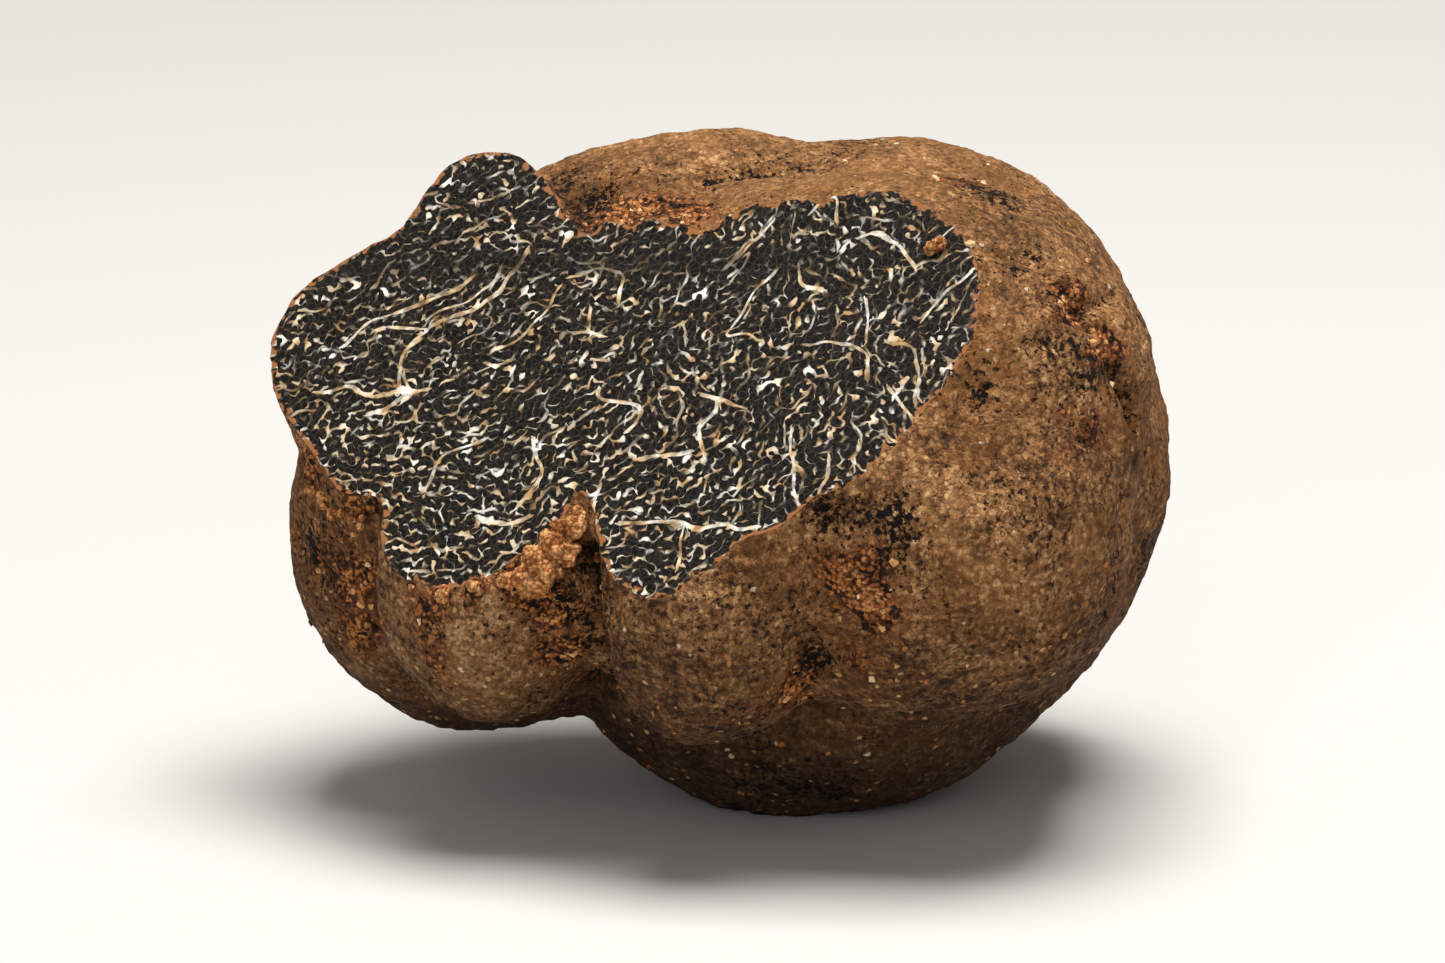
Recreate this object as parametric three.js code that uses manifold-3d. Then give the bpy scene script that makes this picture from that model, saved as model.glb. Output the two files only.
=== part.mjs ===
// Black truffle with one slice cut off it, standing on a small flat spot.
//
// Millimetres, +Z up, the cut face looking forward (-Y), up and a little to the left (-X).
// The truffle is one solid. Its skin is drawn around a core: in every direction the skin lies
// as far out as the furthest of its lobes, less the furrows and dents, with low warts on top.
// One knife cut and the flat spot then take off what lies beyond them.

import * as THREE from 'three';
import { mergeVertices } from 'three/addons/utils/BufferGeometryUtils.js';
import Module from 'manifold-3d';

// ---------------------------------------------------------------- driving dimensions

// Where the core stands: the flat spot is on the floor, the origin under the middle.
const CORE = new THREE.Vector3(1.12, -2.21, 22.9);

// The knife cut: how far it passes from the core, and which way its face looks.
const CUT_DEPTH = 14;
const CUT_TURN = THREE.MathUtils.degToRad(28); // from straight ahead round to the left
const CUT_RISE = THREE.MathUtils.degToRad(40); // above the level

// The flat spot lies this far below the core.
const FOOT_DEPTH = 22.9;

// Lobes: egg shapes that reach from the core, each with its centre from the core and its radii.
const LOBES = {
  main: { centre: [6, 7, -1], radii: [23, 17, 21] },
  middle: { centre: [-4, 2, 4], radii: [15, 16, 14.3] },
  base: { centre: [4.5, 4.5, -10.5], radii: [16.5, 14, 13.6] },

  shoulder: { centre: [11.5, -3.7, 8], radii: [16, 14.2, 13.5] },
  saddle: { centre: [3.2, 0, 7], radii: [9.6, 11, 13.8] },
  right_front: { centre: [12, -6, 1], radii: [14.5, 15, 13] },
  right_low: { centre: [12, -5, -5], radii: [14, 14, 9.5] },
  front: { centre: [4.5, -8, 1.5], radii: [11.5, 12.5, 11] },
  front_mid: { centre: [-2.2, -10.1, -3.9], radii: [9.3, 11.1, 11] },
  web: { centre: [-12, -7, -3.5], radii: [5.6, 8.2, 8] },
  front_left: { centre: [-16.4, -6, -4.2], radii: [8.3, 8.8, 10.8] },

  left_lip: { centre: [-20, -2, 2], radii: [7.5, 7, 6.5] },
  left_back: { centre: [-16.5, 4.5, -2.5], radii: [14.4, 12.3, 16] },
  left_upper: { centre: [-18, 3, 7], radii: [13.7, 12.6, 9.6] },
  crown: { centre: [-16.7, 4, 13], radii: [6, 8, 8.7] },

  back_top: { centre: [-2, 10, 4], radii: [20, 13, 17.6] },
  back_right: { centre: [11, 9, 4], radii: [16.8, 14, 16.9] },
  back_left: { centre: [-11, 12, 2], radii: [13, 10, 12] },
  back_mid: { centre: [3, 17, -2], radii: [11, 8.5, 11] },
  back_low: { centre: [15, 12, -8], radii: [12, 11, 10] },
};
const LOBE_BLEND = 0.8; // how softly one lobe runs into the next
const LOBE_EDGE = 1.5; // how softly a lobe's side drops away from where a ray just touches it

// Furrows: lines on the skin, given from the core, with half their width and their depth.
const FURROWS = {
  notch: { width: 1.4, depth: 2.4, line: [[-10.6, -15.2, -1.6], [-10, -16, -7], [-9.2, -13, -14]] },
  left_wall: { width: 1.5, depth: 1.6, line: [[-24.5, -7, 0], [-24.2, -5.5, -7], [-22, -3, -14]] },
  front_right: { width: 1.8, depth: 1.1, line: [[5.2, -20, 2.2], [5.6, -20, -4.5], [4.6, -16, -12]] },
  undercut: {
    width: 2,
    depth: 2.6,
    line: [[-8, -11, -13], [-2, -9.5, -15.5], [5, -10.5, -15], [12, -13, -14], [20, -9, -14.5]],
  },
  right_side: { width: 1.8, depth: 0.9, line: [[19, -2, 18], [24, -5, 10], [26.5, -3, 0], [26, 0, -8]] },
  top_valley: { width: 1.8, depth: 1.1, line: [[-11.3, 5, 17], [-10, 10, 16], [-9, 16, 12]] },
  back_split: { width: 2.2, depth: 1.8, line: [[-4, 20, 12], [-5, 23, 2], [-6, 18, -10], [-4, 8, -20]] },
  back_cross: { width: 2, depth: 1.5, line: [[6, 24, 6], [16, 20, 2], [24, 12, -2]] },
  under_left: { width: 2, depth: 1.2, line: [[-20, 0, -16], [-12, 2, -19], [-6, 8, -20]] },
};

// Dents: round hollows, given from the core.
const DENTS = {
  back_dimple: { width: 4, depth: 2.6, point: [9, 22, -8] },
  left_dimple: { width: 4.5, depth: 1.2, point: [-29, 6, 1] },
};

// Relief of the skin: swells and knobs are smooth noise, warts are low domes in irregular cells.
const SWELL = { spacing: 9, height: 0.45, seed: 11 };
const KNOB = { spacing: 4.2, height: 0.22, seed: 23 };
const WART = { spacing: 3, height: 0.18, seed: 37, reach: 0.8, mean: 0.4 };

// Each edge of the icosahedron behind the skin is split into this many parts, plus one.
const SKIN_DETAIL = 22;

// ---------------------------------------------------------------- lobes

// Distance from the core to a lobe's far side along a direction: to the middle of the ray's way
// through the lobe, and half that way on. Where the ray passes the lobe by, the half turns
// negative, so that the lobe ends there without a step.
function lobeReach(direction, { centre, radii }) {
  let a = 0;
  let b = 0;
  let c = -1;
  direction.toArray().forEach((part, axis) => {
    const along = part / radii[axis];
    const offset = centre[axis] / radii[axis];
    a += along * along;
    b += along * offset;
    c += offset * offset;
  });
  const halfSquared = (b * b - a * c) / (a * a);
  return b / a + halfSquared / Math.sqrt(Math.abs(halfSquared) + LOBE_EDGE ** 2);
}

// The furthest lobe along a direction, with the seams between lobes rounded.
function bodyReach(direction) {
  const reaches = Object.values(LOBES).map((lobe) => lobeReach(direction, lobe));
  const furthest = Math.max(...reaches);
  const sum = reaches.reduce((total, reach) => total + Math.exp((reach - furthest) / LOBE_BLEND), 0);
  return furthest + LOBE_BLEND * Math.log(sum);
}

// ---------------------------------------------------------------- furrows and dents

// A hollow's depth falls off as a bell curve with the distance from its middle.
function hollow(distance, { width, depth }) {
  return depth * Math.exp(-((distance / width) ** 2));
}

// Distance from a point to a line through several points.
function distanceToLine(point, line) {
  const nearest = new THREE.Vector3();
  let distance = Infinity;
  for (let i = 0; i + 1 < line.length; i += 1) {
    const stretch = new THREE.Line3(new THREE.Vector3(...line[i]), new THREE.Vector3(...line[i + 1]));
    stretch.closestPointToPoint(point, true, nearest);
    distance = Math.min(distance, nearest.distanceTo(point));
  }
  return distance;
}

function furrowDepth(point) {
  return Object.values(FURROWS)
    .reduce((sum, furrow) => sum + hollow(distanceToLine(point, furrow.line), furrow), 0);
}

function dentDepth(point) {
  return Object.values(DENTS)
    .reduce((sum, dent) => sum + hollow(point.distanceTo(new THREE.Vector3(...dent.point)), dent), 0);
}

// ---------------------------------------------------------------- relief

// The same number from 0 to 1 every time for the same corner of a grid.
function hash(i, j, k, seed) {
  let h = Math.imul(i, 0x8da6b343) ^ Math.imul(j, 0xd8163841)
    ^ Math.imul(k, 0xcb1ab31f) ^ Math.imul(seed, 0x9e3779b1);
  h = Math.imul(h ^ (h >>> 15), 0x2c1b3c6d);
  h = Math.imul(h ^ (h >>> 12), 0x297a2d39);
  h ^= h >>> 15;
  return (h >>> 0) / 2 ** 32;
}

// Smooth noise from -1 to 1.
function noise(point, { spacing, seed }) {
  const place = point.clone().divideScalar(spacing);
  const cell = place.clone().floor();
  const [u, v, w] = place.sub(cell).toArray().map((t) => THREE.MathUtils.smootherstep(t, 0, 1));
  let sum = 0;
  for (const x of [0, 1]) {
    for (const y of [0, 1]) {
      for (const z of [0, 1]) {
        const weight = (x ? u : 1 - u) * (y ? v : 1 - v) * (z ? w : 1 - w);
        sum += weight * hash(cell.x + x, cell.y + y, cell.z + z, seed);
      }
    }
  }
  return 2 * sum - 1;
}

// A low dome around the nearest of the scattered wart centres, from 0 to 1.
function wart(point, { spacing, seed, reach }) {
  const place = point.clone().divideScalar(spacing);
  const cell = place.clone().floor();
  const centre = new THREE.Vector3();
  let nearest = Infinity;
  for (const x of [-1, 0, 1]) {
    for (const y of [-1, 0, 1]) {
      for (const z of [-1, 0, 1]) {
        const corner = [cell.x + x, cell.y + y, cell.z + z];
        centre.fromArray(corner.map((part, axis) => part + hash(...corner, seed + axis)));
        nearest = Math.min(nearest, centre.distanceTo(place));
      }
    }
  }
  return Math.max(0, 1 - (nearest / reach) ** 2);
}

function relief(point) {
  const swell = SWELL.height * noise(point, SWELL);
  const knob = KNOB.height * noise(point, KNOB);
  return swell + knob + WART.height * (wart(point, WART) - WART.mean);
}

// ---------------------------------------------------------------- the solid

// A ball of triangles, each corner moved out to the skin.
function skinGeometry() {
  const ball = new THREE.IcosahedronGeometry(1, SKIN_DETAIL);
  ball.deleteAttribute('normal');
  ball.deleteAttribute('uv');
  const skin = mergeVertices(ball);
  const position = skin.getAttribute('position');
  const direction = new THREE.Vector3();
  for (let i = 0; i < position.count; i += 1) {
    direction.fromBufferAttribute(position, i).normalize();
    const reach = bodyReach(direction);
    const point = direction.clone().multiplyScalar(reach);
    const height = relief(point) - furrowDepth(point) - dentDepth(point);
    position.setXYZ(i, ...direction.multiplyScalar(reach + height));
  }
  return skin;
}

// A box that takes off everything beyond a plane at a given depth from the core.
function beyond(normal, depth) {
  const size = 4 * FOOT_DEPTH;
  const box = new THREE.BoxGeometry(size, size, size);
  box.deleteAttribute('normal');
  box.deleteAttribute('uv');
  box.translate(0, 0, depth + size / 2);
  box.applyQuaternion(new THREE.Quaternion().setFromUnitVectors(new THREE.Vector3(0, 0, 1), normal));
  return mergeVertices(box);
}

const wasm = await Module();
wasm.setup();

function solidOf(geometry) {
  const vertProperties = geometry.getAttribute('position').array;
  const triVerts = new Uint32Array(geometry.getIndex().array);
  return new wasm.Manifold(new wasm.Mesh({ numProp: 3, vertProperties, triVerts }));
}

function geometryOf(solid) {
  const { vertProperties, triVerts } = solid.getMesh();
  const geometry = new THREE.BufferGeometry();
  geometry.setAttribute('position', new THREE.BufferAttribute(vertProperties, 3));
  geometry.setIndex(new THREE.BufferAttribute(triVerts, 1));
  geometry.computeVertexNormals();
  return geometry;
}

const cutNormal = new THREE.Vector3(
  -Math.sin(CUT_TURN) * Math.cos(CUT_RISE),
  -Math.cos(CUT_TURN) * Math.cos(CUT_RISE),
  Math.sin(CUT_RISE),
);
const down = new THREE.Vector3(0, 0, -1);

const whole = solidOf(skinGeometry());
const slicedOff = solidOf(beyond(cutNormal, CUT_DEPTH));
const underFoot = solidOf(beyond(down, FOOT_DEPTH));
const soilBrownSkin = new THREE.MeshStandardMaterial({ color: 0x7d5a3e, roughness: 0.92, metalness: 0 });

const truffle = new THREE.Mesh(geometryOf(whole.subtract(slicedOff).subtract(underFoot)), soilBrownSkin);
truffle.name = 'truffle';
truffle.position.copy(CORE);

const part = new THREE.Group();
part.add(truffle);

export default part;
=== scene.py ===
"""Black truffle with one slice cut off: its warty skin, its marbled flesh and the soil on it.

The truffle's form is worked out in millimetres from the core, the point that every
lobe is measured from. The finished meshes are moved to the frame's metres at the end.
"""
import math
import random

import bmesh
import bpy
import numpy as np
from mathutils import Matrix, Vector
from mathutils.geometry import delaunay_2d_cdt


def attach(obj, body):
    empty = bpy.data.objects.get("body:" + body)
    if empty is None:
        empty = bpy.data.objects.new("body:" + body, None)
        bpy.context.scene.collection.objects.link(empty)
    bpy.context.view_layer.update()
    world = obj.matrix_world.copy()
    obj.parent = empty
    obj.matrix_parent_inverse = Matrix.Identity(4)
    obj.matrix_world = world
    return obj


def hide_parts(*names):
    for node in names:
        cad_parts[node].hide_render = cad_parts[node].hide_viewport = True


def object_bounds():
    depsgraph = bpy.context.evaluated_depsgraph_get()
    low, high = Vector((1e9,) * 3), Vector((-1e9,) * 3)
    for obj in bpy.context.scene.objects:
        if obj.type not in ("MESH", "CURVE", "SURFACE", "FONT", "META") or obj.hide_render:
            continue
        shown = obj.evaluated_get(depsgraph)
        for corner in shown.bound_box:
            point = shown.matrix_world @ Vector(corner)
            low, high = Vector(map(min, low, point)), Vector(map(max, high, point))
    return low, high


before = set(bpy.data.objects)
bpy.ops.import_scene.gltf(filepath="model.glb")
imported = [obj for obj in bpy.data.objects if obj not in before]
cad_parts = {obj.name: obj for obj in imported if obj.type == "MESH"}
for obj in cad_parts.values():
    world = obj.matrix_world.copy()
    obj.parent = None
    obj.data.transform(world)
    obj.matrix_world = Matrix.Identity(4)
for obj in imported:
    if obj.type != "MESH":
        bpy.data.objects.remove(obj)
cad_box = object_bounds()

MM = 0.001

# ---------------------------------------------------------------- sizes, in mm

# The core's place in the frame, and how far from it the knife's cut and the floor lie.
CORE = np.array((1.12, -2.21, 22.9))
CUT_DEPTH = 14.0
FOOT_DEPTH = 22.9
# How far the knife face is turned to the left, and how far it is tipped up.
CUT_TURN = math.radians(28)
CUT_RISE = math.radians(40)

# The knife face: which way it looks, and the two directions that lie in it.
CUT_NORMAL = np.array((
    -math.sin(CUT_TURN) * math.cos(CUT_RISE),
    -math.cos(CUT_TURN) * math.cos(CUT_RISE),
    math.sin(CUT_RISE),
))
CUT_RIGHT = np.array((math.cos(CUT_TURN), -math.sin(CUT_TURN), 0.0))
CUT_UP = np.cross(CUT_NORMAL, CUT_RIGHT)
# The same for the small spot that the truffle stands on.
DOWN = np.array((0.0, 0.0, -1.0))
FOOT_RIGHT = np.array((1.0, 0.0, 0.0))
FOOT_UP = np.array((0.0, -1.0, 0.0))

# Each lobe of the body: its centre from the core, and its half sizes.
LOBES = {
    "main": ((6, 7, -1), (23, 17, 21)),
    "middle": ((-4, 2, 4), (15, 16, 14.3)),
    "base": ((4.5, 4.5, -10.5), (16.5, 14, 13.6)),
    "shoulder": ((11.5, -3.7, 8), (16, 14.2, 13.5)),
    "saddle": ((3.2, 0, 7), (9.6, 11, 13.8)),
    "right_front": ((12, -6, 1), (14.5, 15, 13)),
    "right_low": ((12, -5, -5), (14, 14, 9.5)),
    "front": ((4.5, -8, 1.5), (11.5, 12.5, 11)),
    "front_mid": ((-2.2, -10.1, -3.9), (9.3, 11.1, 11)),
    "web": ((-12, -7, -3.5), (5.6, 8.2, 8)),
    "front_left": ((-16.4, -6, -4.2), (8.3, 8.8, 10.8)),
    "left_lip": ((-20, -2, 2), (7.5, 7, 6.5)),
    "left_back": ((-16.5, 4.5, -2.5), (14.4, 12.3, 16)),
    "left_upper": ((-18, 3, 7), (13.7, 12.6, 9.6)),
    "crown": ((-16.7, 4, 13), (6, 8, 8.7)),
    "back_top": ((-2, 10, 4), (20, 13, 17.6)),
    "back_right": ((11, 9, 4), (16.8, 14, 16.9)),
    "back_left": ((-11, 12, 2), (13, 10, 12)),
    "back_mid": ((3, 17, -2), (11, 8.5, 11)),
    "back_low": ((15, 12, -8), (12, 11, 10)),
}
# How softly lobes melt into one another, and how softly each one ends towards its own edge.
LOBE_BLEND = 0.8
LOBE_EDGE = 1.5

# Each furrow of the skin: how wide and how deep it is, and the line that it follows.
FURROWS = {
    "notch": (1.4, 2.4, ((-10.6, -15.2, -1.6), (-10, -16, -7), (-9.2, -13, -14))),
    "left_wall": (1.5, 1.6, ((-24.5, -7, 0), (-24.2, -5.5, -7), (-22, -3, -14))),
    "front_right": (1.8, 1.1, ((5.2, -20, 2.2), (5.6, -20, -4.5), (4.6, -16, -12))),
    "undercut": (2, 2.6, (
        (-8, -11, -13), (-2, -9.5, -15.5), (5, -10.5, -15), (12, -13, -14), (20, -9, -14.5),
    )),
    "right_side": (1.8, 0.9, ((19, -2, 18), (24, -5, 10), (26.5, -3, 0), (26, 0, -8))),
    "top_valley": (1.8, 1.1, ((-11.3, 5, 17), (-10, 10, 16), (-9, 16, 12))),
    "back_split": (2.2, 1.8, ((-4, 20, 12), (-5, 23, 2), (-6, 18, -10), (-4, 8, -20))),
    "back_cross": (2, 1.5, ((6, 24, 6), (16, 20, 2), (24, 12, -2))),
    "under_left": (2, 1.2, ((-20, 0, -16), (-12, 2, -19), (-6, 8, -20))),
}
# Each dent: how wide and how deep it is, and its middle.
DENTS = {
    "back_dimple": (4, 2.6, (9, 22, -8)),
    "left_dimple": (4.5, 1.2, (-29, 6, 1)),
}
# The slow swell of the skin, its knobs and its low warts: spacing, height and seed.
SWELL = (9, 0.45, 11)
KNOBS = (4.2, 0.22, 23)
WARTS = (3, 0.18, 37)
# How far a wart reaches, in spacings, and the share of its height that counts as level.
WART_REACH = 0.8
WART_MEAN = 0.4

# Each thin wrinkle of the rind: how wide and how deep it is, and the line that it follows.
WRINKLES = {
    "right_flank": (0.8, 0.75, (
        (17.6, -8, 19.8), (18.9, -9.3, 18.2), (20.4, -10.1, 16.7), (22.3, -10.8, 14.6),
        (23.9, -11.2, 12.4), (25.3, -10.2, 9.5), (26.2, -9.2, 6.4),
    )),
    "right_branch": (0.6, 0.45, ((22.3, -10.8, 14.6), (23.6, -8.8, 14.6), (24.6, -6.4, 14.2))),
    "top": (0.7, 0.5, ((-2.4, 4.4, 19.6), (-0.8, 4.9, 20), (1.2, 5.2, 20.3), (3.4, 5, 20.2))),
}

# The dry rind's own roughness: grains of two sizes, pits between them, how caked soil crumbles and how
# far black pits eat in. Each has its spacing, height or depth, and seed.
COARSE_GRAIN = (1.15, 0.13, 53)
FINE_GRAIN = (0.8, 0.07, 71)
PITS = (1.7, 0.3, 89)
CRUMBLE = (1.0, 0.34, 97)
EATEN = (1.1, 0.28, 103)
# How far a grain and a pit reach, in spacings, how tall the flattest grain is, the share of a grain's
# height that counts as level, and how many of the places for a pit have one.
GRAIN_REACH = 0.7
PIT_REACH = 0.42
FLATTEST_GRAIN = 0.4
GRAIN_MEAN = 0.3
PIT_SHARE = 0.3

# How often the ball that the body starts from is divided, and how often the skin is smoothed to find
# what lies hollow in it.
BALL_STEPS = 8
HOLLOW_ROUNDS = 80
# How wide the faces of each surface are.
SKIN_FACE = 0.41
FLESH_FACE = 0.2
FOOT_FACE = 0.9
CLOD_FACE = 0.12
# How far the first corners inside a rim keep from it, in faces.
RIM_CLEARANCE = 0.6
# How near things count as touching: the knife and a corner, two corners, and a corner and the knife face.
CUT_SLACK = 1e-6
CORNER_SLACK = 1e-5
FACE_SLACK = 1e-3
# The knife face isn't quite flat: the spacing, height and seed of its waves, and how far from the rim
# they begin.
FACE_WAVES = [(5, 0.05, 171), (1.4, 0.02, 173)]
FACE_MARGIN = 1.2

# Where soil is caked on the skin: reach, and middle from the core.
SOIL_PATCHES = {
    "notch_top": (1.6, (-12, -14.2, -0.4)),
    "notch_left": (2.3, (-13.8, -14.5, -3.2)),
    "notch": (2.0, (-12, -14.4, -5)),
    "notch_foot": (1.8, (-11.5, -13.5, -8)),
    "lobe_rim": (0.7, (-19.4, -13.8, -3.9)),
    "lobe_rim_right": (0.9, (-17.4, -14.4, -3.7)),
    "left_wall": (2.4, (-25.8, -4.3, -5.5)),
    "left_wall_low": (2.2, (-25.6, -3.2, -9.5)),
    "left_rim": (1.5, (-28.4, -2.2, 1)),
    "left_rim_front": (1.3, (-26, -5.8, 0.4)),
    "under_rim": (2.0, (6.8, -19.7, -1)),
    "right_of_front": (2.2, (8.4, -19.8, -2.8)),
    "front_low": (2.4, (3, -16.4, -10)),
    "top_valley": (2.6, (-7, 1.2, 18.3)),
    "top_dip": (2.2, (-3.5, 0.5, 19)),
    "right_shoulder": (1.8, (22, -10.9, 15)),
    "right_side": (1.6, (24.2, -10.9, 12.3)),
    "back_split": (3.0, (-5, 20, 4)),
    "back_cross": (2.6, (18, 18, 1)),
}
# Where the skin is eaten by black pits: reach, and middle from the core.
PIT_PATCHES = {
    "under_rim_left": (2.2, (5.6, -19.5, 3)),
    "under_rim": (2.6, (7.4, -20, 2.6)),
    "under_rim_right": (2.6, (9.8, -20.3, 2.4)),
    "front_crease": (1.8, (5.4, -16.8, -7.4)),
    "notch": (1.9, (-11.2, -14.2, -4.2)),
    "notch_top": (1.7, (-10.2, -13.8, -2.4)),
    "notch_wall": (1.7, (-9.6, -13.6, -0.8)),
    "notch_wall_low": (2.0, (-9.2, -14.5, -4)),
    "notch_low": (2.6, (-10.4, -13.5, -7.5)),
    "notch_middle": (2.6, (-10.2, -14, -5.2)),
    "notch_foot": (2.8, (-9, -13.5, -10)),
    "notch_left": (1.6, (-13.6, -14.4, -5.2)),
    "left_wall": (2.0, (-29, -1.2, -3.4)),
    "left_wall_front": (1.8, (-27, -3.4, -6)),
    "right_of_rim": (1.2, (15.8, -16.8, 10.6)),
    "shoulder": (2.0, (19.2, -9.8, 17.8)),
    "top_right": (2.8, (16.7, -3, 20.5)),
    "shoulder_right": (2.0, (21, -11, 16)),
    "top_valley": (1.6, (-6, 1.4, 18.6)),
    "top_left": (1.4, (-9.4, 4.4, 18.2)),
    "back_dimple": (3.0, (9, 22, -8)),
    "back_split": (2.6, (-5, 21, -4)),
}
# Where the rind is painted paler, as painted light, or, below 0, darker, as painted shade: reach, by how
# much of the rind's range of browns, and middle from the core.
LIGHT_AND_SHADE_PATCHES = {
    "front_left_lobe": (5.0, 0.12, (-17, -13.5, -9)),
    "front_lobe": (6.0, -0.07, (-1, -20, -5)),
    "right_low": (8.0, -0.13, (16.7, -14, -10)),
    "left_wall": (5.0, -0.11, (-27.5, -3, -7)),
    "top_right": (6.0, -0.11, (16.5, -2, 20)),
}
# How the edge of a patch wanders, and how unevenly soil and pits lie in it: spacing, share and seed.
PATCH_EDGE = (2.2, 0.5, 149)
SOIL_UNEVEN = (2.4, 0.4, 131)
PIT_UNEVEN = (2, 0.4, 133)
# Soil and pits also lie here and there, where a slow noise is high: its spacing, how high it is where they
# begin and where they are full, how thick they are there, and its seed.
STRAY_SOIL = (7, 0.5, 0.85, 0.6, 141)
STRAY_PITS = (6, 0.4, 0.75, 0.6, 143)
# How hollow the skin is where soil begins to gather and where it is full, and how thick it is there.
HOLLOW_SOIL = (0.35, 1.2, 0.7)
# How much thicker soil lies in its patches, and its usual thickness before the unevenness.
PATCH_SOIL = 1.15
SOIL_LEVEL = 0.8
# The same for black pits, and how thickly they lie along a wrinkle.
PIT_LEVEL = 0.9
WRINKLE_PITS = 0.9
# The clod of soil that stands in the notch: the middle and radius of each of its lumps.
CLOD_LUMPS = [
    ((-12.1, -14.3, -0.7), 1.15),
    ((-11.2, -13.9, 0.5), 0.9),
    ((-10.7, -13.4, 1.3), 0.55),
    ((-13.2, -14.5, -1.5), 1.0),
    ((-12.4, -14.9, -2.0), 0.85),
    ((-14.3, -14.7, -2.6), 0.75),
    ((-11.3, -14.4, -1.1), 0.7),
    ((-13.3, -15.0, -3.2), 0.7),
    ((-15.2, -14.7, -2.9), 0.5),
]
# A stray crumb that lies on the knife face.
CRUMB_LUMPS = [
    ((12.4, -9.9, 18.4), 0.5),
    ((12.9, -10.0, 18.7), 0.32),
]
# Crumbs of clay strung along the cut's lower rim: their lines, spacing, straying, radii and seed.
RIM_CRUMB_LINES = [
    (
        (-21.4, -12.5, -4), (-20.8, -13, -3.9), (-19.2, -13.7, -3.8), (-17.5, -14.2, -3.5),
        (-15.9, -14.4, -3.1),
    ),
    ((-28.3, -2.5, -0.4), (-26, -5.3, -0.8), (-24.7, -7, -1.1)),
]
RIM_CRUMB_SPACING = 0.42
RIM_CRUMB_STRAY = 0.32
RIM_CRUMB_RADIUS = (0.14, 0.3)
RIM_CRUMB_SEED = 7
# How often the ball that each lump starts from is divided.
LUMP_STEPS = 4
# How the clod and the crumbs are worn: spacing, height and seed. They are also swollen by a share of that
# height, which keeps the smallest whole.
CLOD_CRUMBLE = (0.7, 0.4, 201)
CLOD_SWELL = 0.2
# How wide the granules of dry clay are.
CLAY_GRANULE = 0.32

# The knife's dark smear on the face, from the point of the face nearest the core: how far up it runs,
# how much it climbs to the right, how far it wavers, its half width and that of its darkest part, where
# it ends on the right and over what length it fades there.
SMEAR_UP = 9.1
SMEAR_CLIMB = 0.14
SMEAR_WAVER = 3.0
SMEAR_HALF = 1.4
SMEAR_DARK = SMEAR_HALF / 5
SMEAR_END = 12.0
SMEAR_FADE = 5.0

# How the veins wander: spacing, distance and seed, and the two layers of that noise that move them right
# and up.
VEIN_BEND = (1.5, 0.3, 151)
VEIN_BEND_LAYERS = (3, 9)
# How many straight stretches a line has from corner to corner, and how far from a vein its distance is
# still worked out.
LINE_STEPS = 4
VEIN_FIELD = 1.0

# The main veins of the knife face: half width, and the line that each follows, right and up from
# the point of the face nearest the core.
MAIN_VEINS = [
    (0.14, ((-19, -3), (-19.5, 0), (-18, 2), (-15.8, 3.4), (-14.4, 5), (-14, 6.5), (-13.2, 8.5))),
    (0.09, ((-18.5, 2.6), (-16.4, 4.2), (-15.2, 5.6), (-14.6, 7))),
    (0.11, ((-24.5, 0), (-23, 1.8), (-21, 2.8), (-19.5, 3.8), (-17.5, 4.8), (-16.5, 6))),
    (0.09, ((-21.5, 1.5), (-18.4, 1.7))),
    (0.15, ((-25, -3.8), (-23, -3), (-20.8, -3.4), (-18.5, -2.8), (-16.8, -2.5))),
    (0.14, ((-19, -1.5), (-18.4, -3), (-20.8, -5))),
    (0.11, ((-14.6, -9.6), (-14, -7.2), (-11.3, -5.4))),
    (0.12, ((-8, -5.2), (-6.9, -6.8), (-6.8, -8), (-7.4, -9.8))),
    (0.15, ((-10, -11.3), (-8, -11.3), (-6.2, -10.5))),
    (0.10, ((-9.3, 7), (-7.5, 7.6), (-6, 7.8), (-5.4, 6.5), (-5.2, 5.6))),
    (0.09, ((-9.8, 6), (-10.5, 4), (-11.4, 2), (-13, 0.8))),
    (0.11, ((-8, 3.1), (-6.8, 3.4), (-5.6, 3.2))),
    (0.10, ((-7, 5), (-6.8, 3.4))),
    (0.09, ((5.2, 9.4), (4.2, 7), (3.6, 5.2), (3.3, 4.2), (5.6, 4.4))),
    (0.11, ((4, 13), (2.8, 11), (1.8, 9.2))),
    (0.12, ((6.6, 9.8), (7.4, 8.5), (9, 8.4))),
    (0.10, ((12.2, 8), (13, 6.5), (13.4, 5.2))),
    (0.12, ((15, 5.5), (17, 4.8), (17.9, 3), (18.4, 1.5))),
    (0.11, ((16, 2), (17.5, 1), (18.4, 0), (18.8, -1.2), (17, -1.5))),
    (0.10, ((4.3, -0.6), (3.6, -2.8), (4.6, -5))),
    (0.10, ((3, -0.5), (4.3, -0.6), (6.2, -0.7))),
    (0.12, ((-4.6, -0.8), (-4, -1.6), (-1.5, -1.7), (-0.8, -2.6), (-1.3, -3.6))),
    (0.13, ((0, -5.4), (1.5, -5), (3.4, -4.5))),
    (0.10, ((10.2, -2), (11, -4), (11.6, -5.5), (12.4, -7))),
    (0.10, ((13.2, -3), (13.7, -5), (13.9, -6.6))),
    (0.12, ((0, -10), (3, -9.6), (6, -9.7), (8, -9.2), (10, -8.8))),
    (0.11, ((-2.8, -10.6), (-2.2, -9), (-2.3, -7.6))),
    (0.11, ((10.2, 12.4), (11, 12.9), (12.4, 12.7), (13.7, 12), (14.8, 10.8))),
    (0.10, ((17, 7), (18, 9.5), (19.2, 11.2))),
    (0.10, ((6.3, 14), (7.5, 15), (8.4, 13.6))),
    (0.10, ((10, 4.3), (12, 4.6), (13.8, 4.3), (14.4, 2.4))),
    (0.10, ((5, -10), (5.3, -12.8))),
]
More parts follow.
